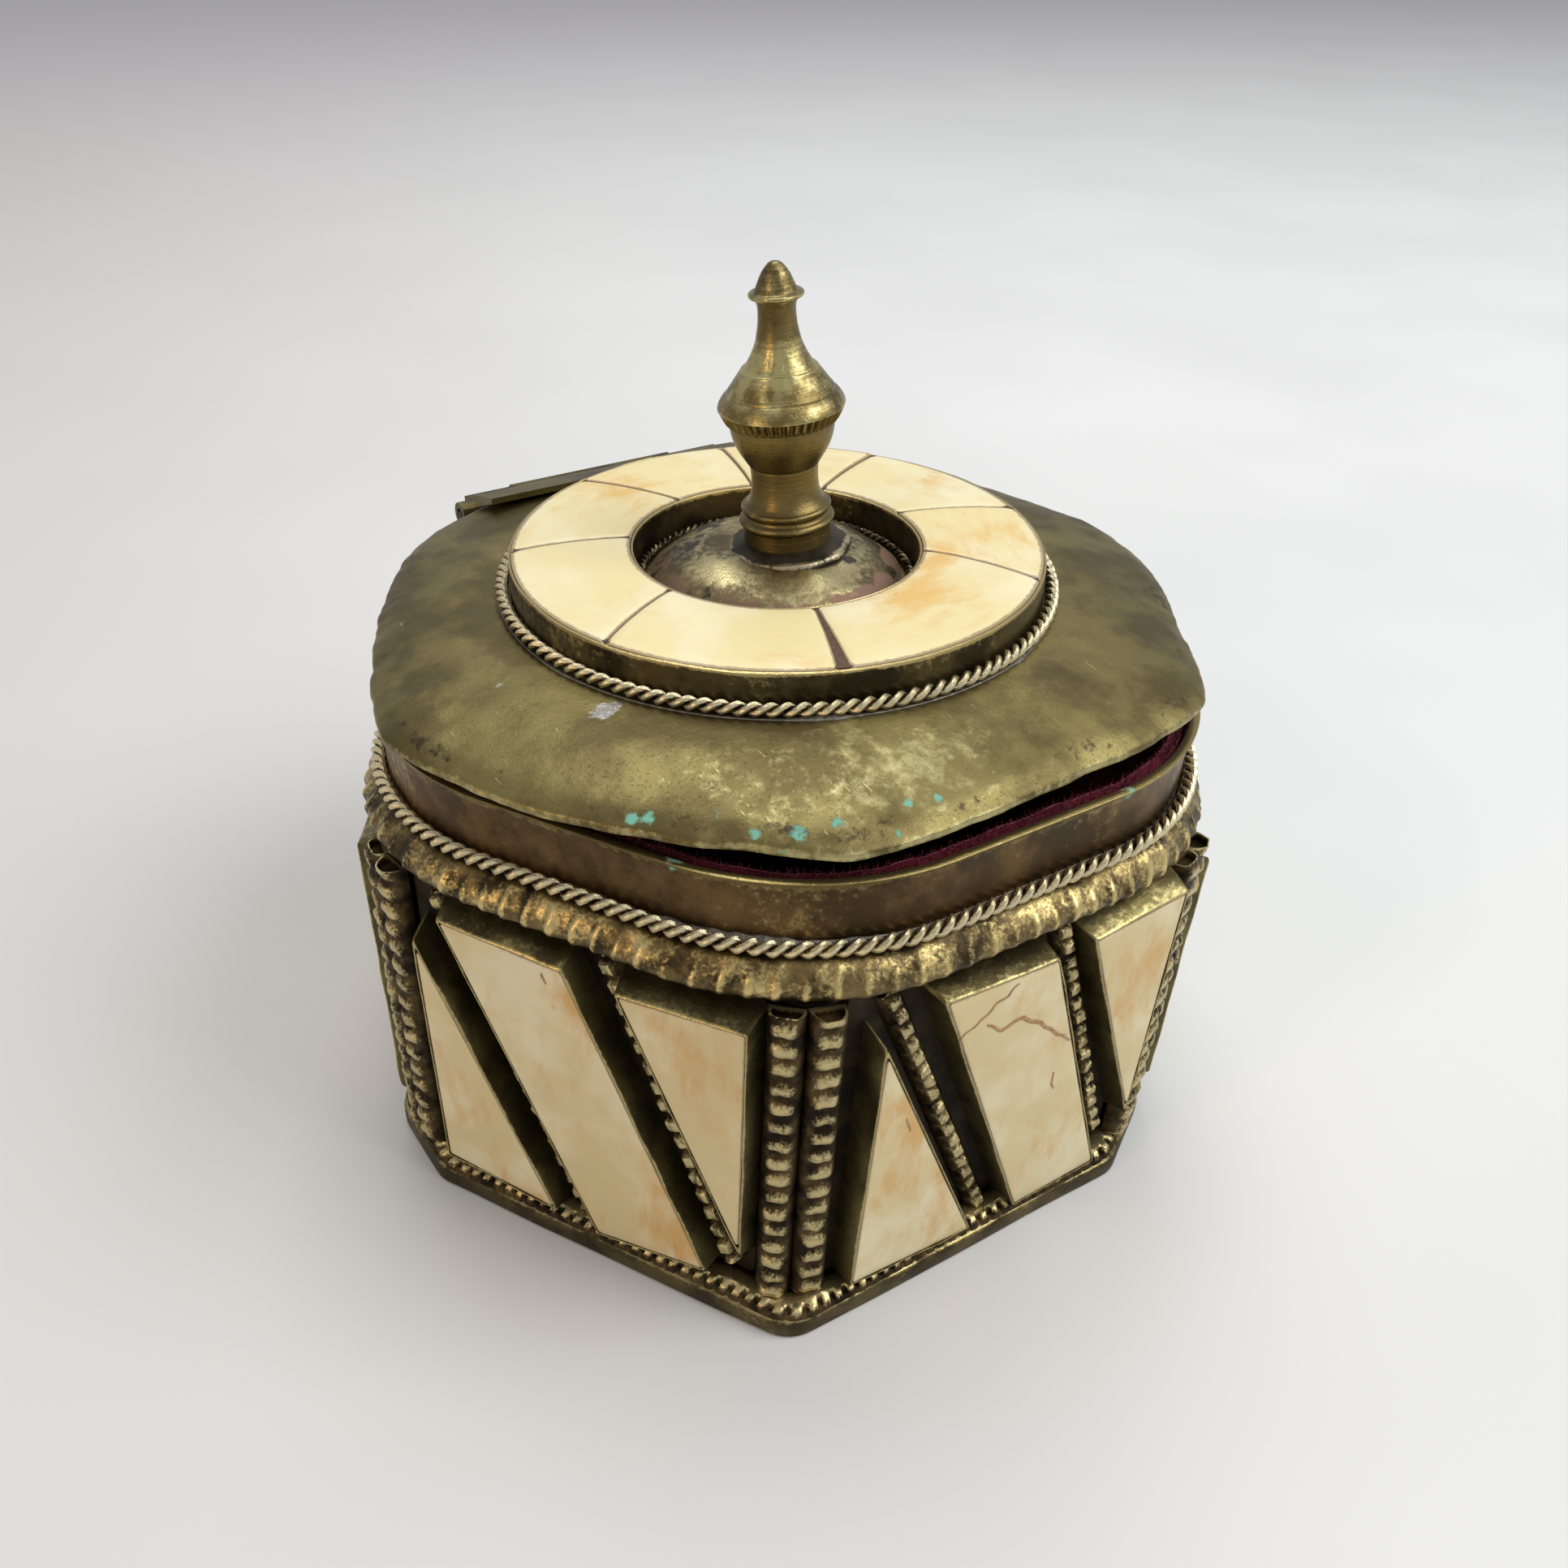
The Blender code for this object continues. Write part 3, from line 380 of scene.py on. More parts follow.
class Surface:
    """The faces of one piece, gathered from grids of points in millimetres. Every part of it is closed."""

    def __init__(self):
        self.points = []
        self.marks = []
        self.faces = []
        self.count = 0

    def grid(self, points, loop=False, **marks):
        """Faces between neighbouring points. The second way always runs round; the first closes as a loop, or
        ends in two caps."""
        rows, round_ = points.shape[:2]
        number = self.count + np.arange(rows * round_).reshape(rows, round_)
        near, far = (number, np.roll(number, -1, 0)) if loop else (number[:-1], number[1:])
        quads = np.stack((near, np.roll(near, -1, 1), np.roll(far, -1, 1), far), -1)
        self.faces += quads.reshape(-1, 4).tolist()
        flat = {}
        for name, value in marks.items():
            value = np.broadcast_to(value, (rows, round_) + np.shape(value)[2:])
            flat[name] = value.reshape(rows * round_, -1)
        self.points.append(points.reshape(-1, 3))
        self.count += rows * round_
        if not loop:
            ends = points[[0, -1]].mean(1)
            self.points.append(ends)
            for cap, row in enumerate((number[0], number[-1])):
                fan = np.stack((row, np.roll(row, -1), np.full(round_, self.count + cap)), -1)
                self.faces += fan.tolist()
            for name, value in flat.items():
                whole = value.reshape(rows, round_, -1)
                flat[name] = np.concatenate((value, whole[[0, -1]].mean(1)))
            self.count += 2
        self.marks.append((self.count, flat))
        return self

    def make(self, name, finish, body, slot, *replaces, sharp=35.0):
        """The piece's mesh, with its marks as attributes, facing outwards, riding on its body."""
        points = np.concatenate(self.points)
        mesh = bpy.data.meshes.new(name)
        mesh.from_pydata((points * MM).tolist(), [], self.faces)
        for mark in sorted({mark for _, flat in self.marks for mark in flat}):
            parts, start = [], 0
            wide = max(flat[mark].shape[1] for _, flat in self.marks if mark in flat)
            for end, flat in self.marks:
                parts.append(flat.get(mark, np.zeros((end - start, wide))))
                start = end
            kind, field = ("FLOAT_VECTOR", "vector") if wide == 3 else ("FLOAT", "value")
            layer = mesh.attributes.new(mark, kind, "POINT")
            layer.data.foreach_set(field, np.concatenate(parts).astype(np.float32).ravel())
        edit = bmesh.new()
        edit.from_mesh(mesh)
        bmesh.ops.remove_doubles(edit, verts=edit.verts, dist=0.000002)
        bmesh.ops.recalc_face_normals(edit, faces=edit.faces)
        edit.to_mesh(mesh)
        edit.free()
        mesh.shade_smooth()
        mesh.set_sharp_from_angle(angle=math.radians(sharp))
        mesh.materials.append(finish)
        piece = placed(name, mesh)
        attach(piece, body)
        if replaces:
            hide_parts(*replaces)
        return piece


# Finishes


class Recipe:
    """The nodes of one material or node group."""

    def __init__(self, tree):
        self.tree = tree

    def add(self, kind, inputs=(), **settings):
        """A node with its settings, and its inputs filled with values or with other nodes' outputs."""
        node = self.tree.nodes.new("ShaderNode" + kind)
        for name, value in settings.items():
            setattr(node, name, value)
        for name, value in dict(inputs).items():
            if isinstance(value, bpy.types.NodeSocket):
                self.tree.links.new(value, node.inputs[name])
            else:
                node.inputs[name].default_value = value
        return node

    def place(self):
        return self.add("TexCoord").outputs["Object"]

    def mark(self, name, output="Fac"):
        return self.add("Attribute", attribute_name=name).outputs[output]

    def stretched(self, place, *scale):
        return self.add("Mapping", {"Vector": place, "Scale": scale}).outputs[0]

    def noise(self, place, scale, detail=4.0, rough=0.55):
        inputs = {"Vector": place, "Scale": scale, "Detail": detail, "Roughness": rough}
        return self.add("TexNoise", inputs).outputs["Fac"]

    def work(self, operation, *values):
        return self.add("Math", dict(enumerate(values)), operation=operation).outputs[0]

    def swing(self, value, amount, middle=0.5):
        """A value of about the middle as a change about zero, made larger or smaller."""
        return self.work("MULTIPLY", self.work("SUBTRACT", value, middle), amount)

    def step(self, value, start, end):
        """An S curve from 0 at start to 1 at end."""
        inputs = {"Value": value, "From Min": start, "From Max": end}
        return self.add("MapRange", inputs, interpolation_type="SMOOTHSTEP").outputs[0]

    def scaled(self, value, low_end, high_end):
        inputs = {"Value": value, "To Min": low_end, "To Max": high_end}
        return self.add("MapRange", inputs).outputs[0]

    def blend(self, share, first, second):
        inputs = {0: share, 6: first, 7: second}
        return self.add("Mix", inputs, data_type="RGBA").outputs[2]

    def bump(self, height, strength, distance, normal=None):
        inputs = {"Height": height, "Strength": strength, "Distance": distance}
        if normal is not None:
            inputs["Normal"] = normal
        return self.add("Bump", inputs).outputs[0]

    def group(self, tree, inputs):
        return self.add("Group", inputs, node_tree=tree).outputs


def colour(red, green, blue):
    return (red, green, blue, 1.0)


def new_group(name, inputs, outputs):
    """An empty node group with its sockets, and its two ends."""
    tree = bpy.data.node_groups.new(name, "ShaderNodeTree")
    kinds = {"v": "NodeSocketVector", "f": "NodeSocketFloat", "c": "NodeSocketColor"}
    for way, sockets in (("INPUT", inputs), ("OUTPUT", outputs)):
        for socket, kind in sockets:
            tree.interface.new_socket(socket, in_out=way, socket_type=kinds[kind])
    start = tree.nodes.new("NodeGroupInput").outputs
    end = tree.nodes.new("NodeGroupOutput").inputs
    return tree, Recipe(tree), start, end


def make_ragged_mask():
    """A soft mask with a torn edge: noise is added to it, and an S curve sharpens the sum."""
    inputs = (("Place", "v"), ("Mask", "f"), ("Scale", "f"), ("Tear", "f"))
    tree, recipe, start, end = new_group("ragged mask", inputs, (("Mask", "f"),))
    noise = recipe.noise(start["Place"], start["Scale"], 5.0, 0.65)
    tear = recipe.swing(noise, start["Tear"])
    total = recipe.work("ADD", start["Mask"], tear)
    tree.links.new(recipe.step(total, 0.36, 0.64), end["Mask"])
    return tree


def make_patina():
    """Old brass: brown and dark blotches with pits, and metal laid bare where the bare mask is high."""
    inputs = (("Place", "v"), ("Scale", "f"), ("Bare", "f"), ("Metal", "c"), ("Brown", "c"), ("Dark", "c"))
    outputs = (("Colour", "c"), ("Bare", "f"), ("Height", "f"))
    tree, recipe, start, end = new_group("patina", inputs, outputs)
    broad = recipe.noise(start["Place"], start["Scale"], 6.0, 0.62)
    fine = recipe.noise(start["Place"], recipe.work("MULTIPLY", start["Scale"], 9.0), 4.0, 0.6)
    speck = recipe.noise(start["Place"], recipe.work("MULTIPLY", start["Scale"], 31.0), 2.0, 0.5)
    old = recipe.blend(recipe.step(broad, 0.38, 0.60), start["Dark"], start["Brown"])
    pits = recipe.step(speck, 0.60, 0.74)
    old = recipe.blend(recipe.work("MULTIPLY", pits, 0.6), old, start["Dark"])
    wear = recipe.swing(fine, 1.1)
    wear = recipe.work("ADD", start["Bare"], wear)
    wear = recipe.work("ADD", wear, recipe.swing(broad, 0.9))
    wear = recipe.step(wear, 0.30, 0.78)
    tree.links.new(recipe.blend(wear, old, start["Metal"]), end["Colour"])
    tree.links.new(wear, end["Bare"])
    height = recipe.work("ADD", recipe.work("MULTIPLY", fine, 0.6), recipe.work("MULTIPLY", speck, 0.3))
    tree.links.new(recipe.work("SUBTRACT", height, recipe.work("MULTIPLY", pits, 0.3)), end["Height"])
    return tree


def make_scratches():
    """Fine scratches that run two ways: noise drawn out along each and kept where it peaks."""
    tree, recipe, start, end = new_group("scratches", (("Place", "v"), ("Scale", "f")), (("Mask", "f"),))
    lines = []
    for turn in (0.5, 1.9):
        inputs = {"Vector": start["Place"], "Rotation": (0.0, 0.0, turn), "Scale": (1.0, 0.10, 1.0)}
        noise = recipe.noise(recipe.add("Mapping", inputs).outputs[0], start["Scale"], 2.0, 0.5)
        lines.append(recipe.step(noise, 0.70, 0.76))
    tree.links.new(recipe.work("MAXIMUM", *lines), end["Mask"])
    return tree


RAGGED = make_ragged_mask()
PATINA = make_patina()
SCRATCHES = make_scratches()


def material(name):
    """A material with one Principled shader."""
    made = bpy.data.materials.new(name)
    made.use_nodes = True
    made.node_tree.nodes.clear()
    recipe = Recipe(made.node_tree)
    shader = recipe.add("BsdfPrincipled")
    recipe.add("OutputMaterial", {"Surface": shader.outputs[0]})
    return made, recipe, shader


def fill(recipe, shader, **inputs):
    """Fills the shader's sockets, named with underscores for spaces."""
    for name, value in inputs.items():
        socket = shader.inputs[name.replace("_", " ")]
        if isinstance(value, bpy.types.NodeSocket):
            recipe.tree.links.new(value, socket)
        else:
            socket.default_value = value


METALLIC = 0.92


def old_brass(
    name, metal, brown, dark, scale, bare, gain=0.0, rough=(0.58, 0.34), scratched=0.0, lathe=0.0, marks=()
):
    """Patinated brass. Bare metal shows where the rise mark is high; the rise mark holds wear, and on some
    pieces painted highlights and painted shade too. Marks are local spots: name, colour, metallic and
    roughness."""
    made, recipe, shader = material(name)
    place = recipe.place()
    mask = recipe.work("ADD", recipe.work("MULTIPLY", recipe.mark("rise"), gain), bare)
    if scratched:
        lines = recipe.group(SCRATCHES, {"Place": place, "Scale": 1900.0})["Mask"]
        mask = recipe.work("ADD", mask, recipe.work("MULTIPLY", lines, scratched))
    if lathe:
        line = recipe.add("CombineXYZ", {"Z": recipe.mark("turned")}).outputs[0]
        turned = recipe.noise(line, 3.4, 4.0, 0.75)
        mask = recipe.work("ADD", mask, recipe.swing(turned, lathe))
    inputs = {"Place": place, "Scale": scale, "Bare": mask, "Metal": colour(*metal)}
    inputs |= {"Brown": colour(*brown), "Dark": colour(*dark)}
    patina = recipe.group(PATINA, inputs)
    base, metallic = patina["Colour"], METALLIC
    roughness = recipe.scaled(patina["Bare"], *rough)
    for mark, tint, share, dull in marks:
        spot = recipe.group(RAGGED, {"Place": place, "Mask": recipe.mark(mark), "Scale": 700.0, "Tear": 1.5})[
            "Mask"
        ]
        base = recipe.blend(spot, base, colour(*tint))
        metallic = recipe.work("ADD", recipe.work("MULTIPLY", spot, share - METALLIC), metallic)
        grow = recipe.work("MULTIPLY", recipe.work("SUBTRACT", dull, roughness), spot)
        roughness = recipe.work("ADD", roughness, grow)
    normal = recipe.bump(patina["Height"], 0.35, 0.00025)
    if lathe:
        normal = recipe.bump(turned, 0.45, 0.00015, normal)
    fill(recipe, shader, Base_Color=base, Metallic=metallic, Roughness=roughness, Normal=normal)
    return made


def bone(name, cream, pale, amber):
    """Polished bone: broad pale and amber clouds, a faint drawn-out grain, short dark pores in places, and a
    thin brown line of dirt at the edge."""
    made, recipe, shader = material(name)
    lay = recipe.mark("lay", "Vector")
    cloud = recipe.noise(lay, 0.085, 3.0, 0.55)
    mottle = recipe.noise(recipe.stretched(lay, 1.0, 0.45, 1.0), 0.42, 4.0, 0.6)
    grain = recipe.noise(recipe.stretched(lay, 1.0, 0.16, 1.0), 1.5, 3.0, 0.55)
    base = recipe.blend(recipe.step(cloud, 0.42, 0.66), colour(*cream), colour(*pale))
    tint = recipe.work("ADD", recipe.mark("stain"), recipe.swing(mottle, 1.9, 0.46))
    tint = recipe.work("ADD", tint, recipe.swing(grain, 0.25))
    base = recipe.blend(recipe.work("MULTIPLY", recipe.step(tint, 0.08, 1.05), 0.92), base, colour(*amber))
    streak = recipe.noise(recipe.stretched(lay, 1.0, 0.30, 1.0), 2.2, 2.0, 0.5)
    pores = recipe.work("MULTIPLY", recipe.step(streak, 0.70, 0.78), recipe.step(tint, 0.25, 0.7))
    base = recipe.blend(recipe.work("MULTIPLY", pores, 0.55), base, colour(0.26, 0.12, 0.04))
    rim = recipe.group(RAGGED, {"Place": lay, "Mask": recipe.mark("edge"), "Scale": 1.5, "Tear": 0.5})["Mask"]
    base = recipe.blend(recipe.work("MULTIPLY", rim, 0.7), base, colour(0.17, 0.095, 0.04))
    height = recipe.work("SUBTRACT", recipe.work("MULTIPLY", grain, 0.15), pores)
    fill(recipe, shader, Base_Color=base, Roughness=recipe.scaled(mottle, 0.30, 0.48))
    fill(recipe, shader, Normal=recipe.bump(height, 0.2, 0.0002), Coat_Weight=0.18, Coat_Roughness=0.22)
    return made


def velvet(name, deep, light):
    """Velvet: a short pile that brightens at a grazing look, with crushed patches."""
    made, recipe, shader = material(name)
    place = recipe.place()
    crushed = recipe.noise(place, 130.0, 4.0, 0.6)
    pile = recipe.noise(place, 3600.0, 2.0, 0.6)
    base = recipe.blend(recipe.step(crushed, 0.35, 0.68), colour(*deep), colour(*light))
    base = recipe.blend(recipe.scaled(pile, 0.6, 0.0), base, colour(0.012, 0.001, 0.002))
    fill(recipe, shader, Base_Color=base, Roughness=recipe.scaled(crushed, 0.85, 1.0))
    fill(recipe, shader, Sheen_Weight=1.0, Sheen_Roughness=0.4, Sheen_Tint=colour(0.75, 0.22, 0.28))
    fill(recipe, shader, Normal=recipe.bump(pile, 0.8, 0.0004), Specular_IOR_Level=0.1)
    return made


def filler(name, tint, rough, metallic=0.0):
    """Dull resin or solder with a grainy face."""
    made, recipe, shader = material(name)
    place = recipe.place()
    grain = recipe.noise(place, 1500.0, 4.0, 0.65)
    base = recipe.blend(recipe.step(grain, 0.3, 0.75), colour(*tint), colour(*(0.45 * part for part in tint)))
    fill(recipe, shader, Base_Color=base, Roughness=recipe.scaled(grain, rough, rough + 0.25))
    fill(recipe, shader, Normal=recipe.bump(grain, 0.6, 0.0003), Metallic=metallic)
    return made


TURQUOISE = (0.16, 0.42, 0.31)

bead_brass = old_brass(
    "worn bead brass", (0.56, 0.46, 0.23), (0.10, 0.068, 0.028), (0.020, 0.014, 0.008), 300.0, -0.05, 1.0,
    (0.52, 0.30),
)
band_brass = old_brass(
    "crimped band brass", (0.60, 0.47, 0.20), (0.20, 0.145, 0.060), (0.045, 0.032, 0.015), 260.0, 0.06, 0.95,
    (0.46, 0.28),
)
rope_brass = old_brass(
    "rope brass", (0.72, 0.63, 0.40), (0.13, 0.095, 0.045), (0.02, 0.014, 0.008), 400.0, 0.0, 1.1,
    (0.48, 0.26),
)
bezel_brass = old_brass(
    "bezel brass", (0.42, 0.36, 0.16), (0.155, 0.128, 0.050), (0.075, 0.058, 0.024), 150.0, -0.02, 0.9,
    (0.46, 0.32), 0.15,
)
plate_brass = old_brass(
    "base plate brass", (0.36, 0.29, 0.13), (0.13, 0.100, 0.045), (0.055, 0.040, 0.019), 140.0, -0.02, 0.8,
    (0.52, 0.36), 0.15,
)
wall_brass = old_brass(
    "wall brass in the recesses", (0.10, 0.075, 0.035), (0.035, 0.026, 0.013), (0.012, 0.009, 0.006), 220.0,
    0.05,
)
collar_brass = old_brass(
    "coppery collar brass", (0.37, 0.285, 0.110), (0.145, 0.085, 0.034), (0.060, 0.038, 0.017), 130.0, 0.13,
    0.9, (0.46, 0.32), 0.25, marks=(("green", TURQUOISE, 0.0, 0.85),),
)
lid_brass = old_brass(
    "olive lid brass", (0.44, 0.39, 0.185), (0.225, 0.185, 0.070), (0.125, 0.098, 0.038),
    95.0, 0.09, 0.62, (0.46, 0.40), 0.35,
    marks=(
        ("green", TURQUOISE, 0.0, 0.85), ("silver", (0.62, 0.60, 0.56), 1.0, 0.3),
        ("dark", (0.055, 0.04, 0.018), 0.8, 0.5),
    ),
)
drum_brass = old_brass(
    "dark drum brass", (0.55, 0.44, 0.20), (0.11, 0.085, 0.035), (0.035, 0.027, 0.012), 130.0, 0.02, 1.0,
    (0.48, 0.30), 0.15,
)
boss_brass = old_brass(
    "boss brass", (0.50, 0.43, 0.22), (0.25, 0.195, 0.095), (0.09, 0.066, 0.036), 130.0, 0.26, 0.8,
    (0.42, 0.30), 0.15,
    marks=(("copper", (0.24, 0.15, 0.10), 0.7, 0.6), ("dark", (0.04, 0.035, 0.025), 0.5, 0.55)),
)
burnt_brass = old_brass(
    "burnt solder and brass", (0.40, 0.34, 0.22), (0.060, 0.052, 0.034), (0.025, 0.022, 0.016), 220.0, -0.05,
    0.75, (0.5, 0.4),
)
finial_brass = old_brass(
    "turned finial brass", (0.52, 0.45, 0.20), (0.21, 0.155, 0.055), (0.10, 0.070, 0.026), 60.0, 0.42, 0.9,
    (0.34, 0.24), lathe=0.8,
)
plaque_bone = bone("plaque bone", (0.62, 0.50, 0.255), (0.71, 0.62, 0.39), (0.58, 0.325, 0.085))
ring_bone = bone("ring bone", (0.80, 0.69, 0.36), (0.84, 0.765, 0.49), (0.74, 0.46, 0.12))
maroon_velvet = velvet("maroon velvet", (0.045, 0.003, 0.008), (0.12, 0.010, 0.020))
resin = filler("brown resin", (0.12, 0.060, 0.030), 0.45)
crack_dirt = filler("dirt in a crack", (0.50, 0.29, 0.12), 0.5)
solder = filler("grey solder", (0.26, 0.24, 0.20), 0.38, 0.85)

BRIGHT, AGED, COPPER, BONE, VELVET = "bright_brass", "aged_brass", "copper_brown", "bone", "velvet"


# The foot


def foot_path(apothem, corner, count):
    """The foot's hexagon. Its corners at the left and at the near right are cut back square, so it has eight
    corners."""
    reach = apothem / math.cos(math.pi / 6)
    corners = []
    for angle in range(180, 540, 60):
        turn = math.radians(angle)
        point = reach * np.array((math.cos(turn), math.sin(turn)))
        along = np.array((-math.sin(turn), math.cos(turn)))
        cut = FOOT_CUT if angle in FOOT_CUT_CORNERS else 0.0
        if cut:
            back = point * (1 - cut / reach)
            half = cut * math.tan(math.pi / 3)
            corners += [back - along * half, back + along * half]
        else:
            corners.append(point)
    return outline(corners, corner * 0.8, count)


def base_plate():
    """A rounded hexagon whose edge is a little uneven; its top edge is worn bright."""
    path = foot_path(PLATE_APOTHEM, PLATE_CORNER, 360)
    wave = 0.10 * ripple(path[0], 26, 3)
    profile = [
        (-0.9, 0.0), (-0.25, 0.05), (-0.02, 0.35), (0.0, 1.2), (-0.02, 2.4), (-0.16, 2.82), (-0.5, PLATE_TOP),
        (-1.2, PLATE_TOP),
    ]
    grid = carried(path, [(across + wave, height) for across, height in profile])
    rise = np.array((0.0, 0.2, 0.25, 0.15, 0.25, 0.7, 0.8, 0.2))[:, None] + 0.2 * ripple(path[0], 9, 4)
    grid = inward(grid, (0.75, 0.5, 0.25), PLATE_TOP)
    rise = np.concatenate((rise, np.zeros((3, rise.shape[1]))))
    Surface().grid(grid, rise=rise).make("base_plate_worn", plate_brass, "box", AGED, "base_plate")


def foot_strip():
    """A stamped strip round the foot: a smooth inner ridge and slanted teeth along its outer edge."""
    path, out, walked, whole = foot_path(PLATE_APOTHEM - 2.25, 5.0, 2000)[:4]
    teeth = round(whole / FOOT_TOOTH_PITCH)
    cell = walked * teeth / whole
    u = np.linspace(-1, 1, STRIP_COLUMNS)
    along = cell[:, None] + 0.35 * u
    number = np.floor(along)
    tooth = smooth(0.5 - np.abs(along - number - 0.5), 0.06, 0.30)
    outer = smooth(u, 0.30, 0.55)
    ridge = np.sqrt(1 - np.abs(u) ** 2.6)
    wave = 1 + 0.14 * np.sin(walked * 0.9)[:, None] * ripple(path, 17, 8)[:, None]
    up = FOOT_STRIP_TALL * ridge * (wave * (1 - outer) + outer * (0.35 + 0.65 * tooth))
    across = FOOT_STRIP_HALF * u * (1 + 0.10 * outer * (tooth - 1)) + 0.1 * ripple(path, 20, 9)[:, None]
    up = flat_back(up, -0.2)
    across = flat_back(across, (FOOT_STRIP_HALF, -FOOT_STRIP_HALF))
    x = path[:, :1] + out[:, :1] * across
    y = path[:, 1:] + out[:, 1:] * across
    grid = np.stack((x, y, PLATE_TOP + 0.05 + up), -1)
    rise = flat_back(ridge * ((1 - outer) * 0.8 + outer * tooth))
    Surface().grid(grid, loop=True, rise=rise).make(
        "foot_bead_strip", bead_brass, "box", BRIGHT, "base_bead_strip"
    )


# The facets


def share_points(shares):
    """Plaque corners from shares of the panel to millimetres."""
    shares = np.asarray(shares)
    return np.stack((shares[:, 0] * PANEL_HALF, PANEL_LOW + shares[:, 1] * (PANEL_HIGH - PANEL_LOW)), -1)


def layout(number):
    """The plaques and strips of a facet. The facets behind take the mean of the two in front, each with its
    own small slips."""
    if number in LAYOUTS:
        return [np.array(shares) for shares in LAYOUTS[number]]
    made = []
    for part, (one, six) in enumerate(zip(LAYOUTS[1], LAYOUTS[6])):
        mean = (np.array(one) + np.array(six)) / 2
        slip = chance(np.arange(mean.size).reshape(mean.shape), number * 7 + part) - 0.5
        mean = mean + slip * (0.045, 0.02)
        made.append(np.clip(mean, (-0.93, -0.01), (0.985, 0.985)))
    if number == 5:
        made[2][1] = (0.97, 0.07)
    return made


STAINS = {
    (6, "triangle"): ((-15, 19, 6, 0.3), (-8, 4, 5, 0.3)),
    (6, "slanted"): (
        (2.5, 42, 3.5, 0.9), (4.5, 38, 3.5, 0.7), (13.5, 19, 3.5, 0.8), (15.5, 10, 4, 1.0), (10, 12, 4, 0.4),
        (4.4, 21.6, 1.2, 0.5),
    ),
    (6, "inverted"): ((14, 42, 7, 0.30), (19, 36, 6, 0.25)),
    (1, "triangle"): (
        (-15.5, 32, 3.5, 0.9), (-13.5, 27, 3.5, 0.6), (-16, 21, 3.5, 0.5), (-10, 15, 4, 0.5), (-8, 8, 4, 0.4)
    ),
    (1, "slanted"): ((0, 41, 3, 0.35), (8, 30, 4, 0.30), (9, 14, 5, 0.35), (11, 24, 3, 0.25)),
    (1, "inverted"): ((16, 34, 7, 0.45), (19, 40, 5, 0.3)),
    (2, "inverted"): ((14, 38, 7, 0.5),),
    (5, "inverted"): ((14, 38, 7, 0.5),),
}
CRACKS = (
    (1, ((-5.6, 39.9), (-3.4, 38.0), (-0.2, 38.4), (4.6, 34.3), (8.0, 30.8)), 0.55),
    (1, ((-9.5, 39.2), (-1.9, 44.1)), 0.30),
    (1, ((6.3, 26.4), (6.8, 23.6)), 0.40),
    (1, ((-15.2, 30.8), (-14.6, 28.4)), 0.30),
    (6, ((-2.6, 44.0), (-2.1, 42.6)), 0.28),
)


def plaque(number, kind, shares):
    """A bone plaque: its outline rises to an eased edge and a face that domes slightly to the middle."""
    path = outline(share_points(shares), 0.3, 180)
    top = BEZEL_DEPTHS[number] - 0.06
    profile = [(-0.02, PANEL_THICKNESS + 0.3), (-0.02, top - 0.30), (-0.05, top - 0.07), (-0.20, top)]
    grid = carried(path, profile)
    shares_in = np.array((0.93, 0.82, 0.68, 0.52, 0.36, 0.20, 0.08))
    grid = inward(grid, shares_in, (top + 0.10 * (1 - shares_in**2))[:, None])
    edge = np.concatenate((np.ones((3, 180)), np.full((1, 180), 0.45), np.zeros((7, 180))))
    default = ((14 * (chance(number * 3, 5) - 0.5), 26, 9, 0.35),)
    stain = spots(grid, STAINS.get((number, kind), default))
    lay = grid + 60.0 * np.array((number, len(kind), 0.0))
    work = Surface().grid(on_facet(grid, FACETS[number]), edge=edge, stain=stain, lay=lay)
    work.make(f"bone_plaque_{number}_{kind}", plaque_bone, "box", BONE, f"plaque_{number}_{kind}")


def bezel(work, number, part, shares):
    """The upright wall round a plaque, with mitred corners. It leans in from its foot to a thin worn edge
    that is a little wavy.
    The side that looks up leans the most, and the walls that face up carry a painted highlight."""
    corners = share_points(shares)
    after = np.roll(corners, -1, 0) - corners
    upward = -after[:, 0] / np.linalg.norm(after, axis=1)
    lean = BEZEL_DRAFT + (BEZEL_TOP_DRAFT - BEZEL_DRAFT) * smooth(upward, 0.5, 0.95) - 0.2 * smooth(
        -upward, 0.5, 0.95
    )
    lean = lean * (0.85 + 0.3 * chance(np.arange(len(corners)), number * 5 + part))
    outer = BEZEL_WALL
    away = [0.0, outer + lean, outer + lean * 0.55, outer + lean * 0.12, outer - 0.04, outer / 2, 0.0]
    rings, path = mitred(corners, away, 0.18, 280)
    wave = 0.07 * ripple(path[0] + 50 * number, 11, part)
    deep = BEZEL_DEPTHS[number]
    height = np.array((0.3, 0.3, deep * 0.5, deep - 0.30, deep - 0.05, deep, deep - 0.06))[:, None]
    height = height + wave * np.array((0, 0, 0, 1, 1, 1, 1.0))[:, None]
    grid = np.concatenate((rings, height[..., None]), -1)
    bow = 0.10 * ripple(rings + 50 * number, 13, part + 9) * np.array((0, 0, 1, 0.6, 0, 0, 0))[:, None]
    grid[..., :2] += bow[..., None] * path[1]
    # Painted highlight: walls that face up are laid barer and brighter, as if lit from above.
    facing_up_highlight = smooth(path[1][:, 1], 0.5, 0.95)
    rise = np.array((0.0, 0.0, 0.0, 0.12, 0.9, 1.0, 0.5))[:, None]
    rise = rise + np.array((0.1, 0.22, 0.34, 0.36, 0, 0, 0))[:, None] * facing_up_highlight
    work.grid(on_facet(grid, FACETS[number]), loop=True, rise=rise)


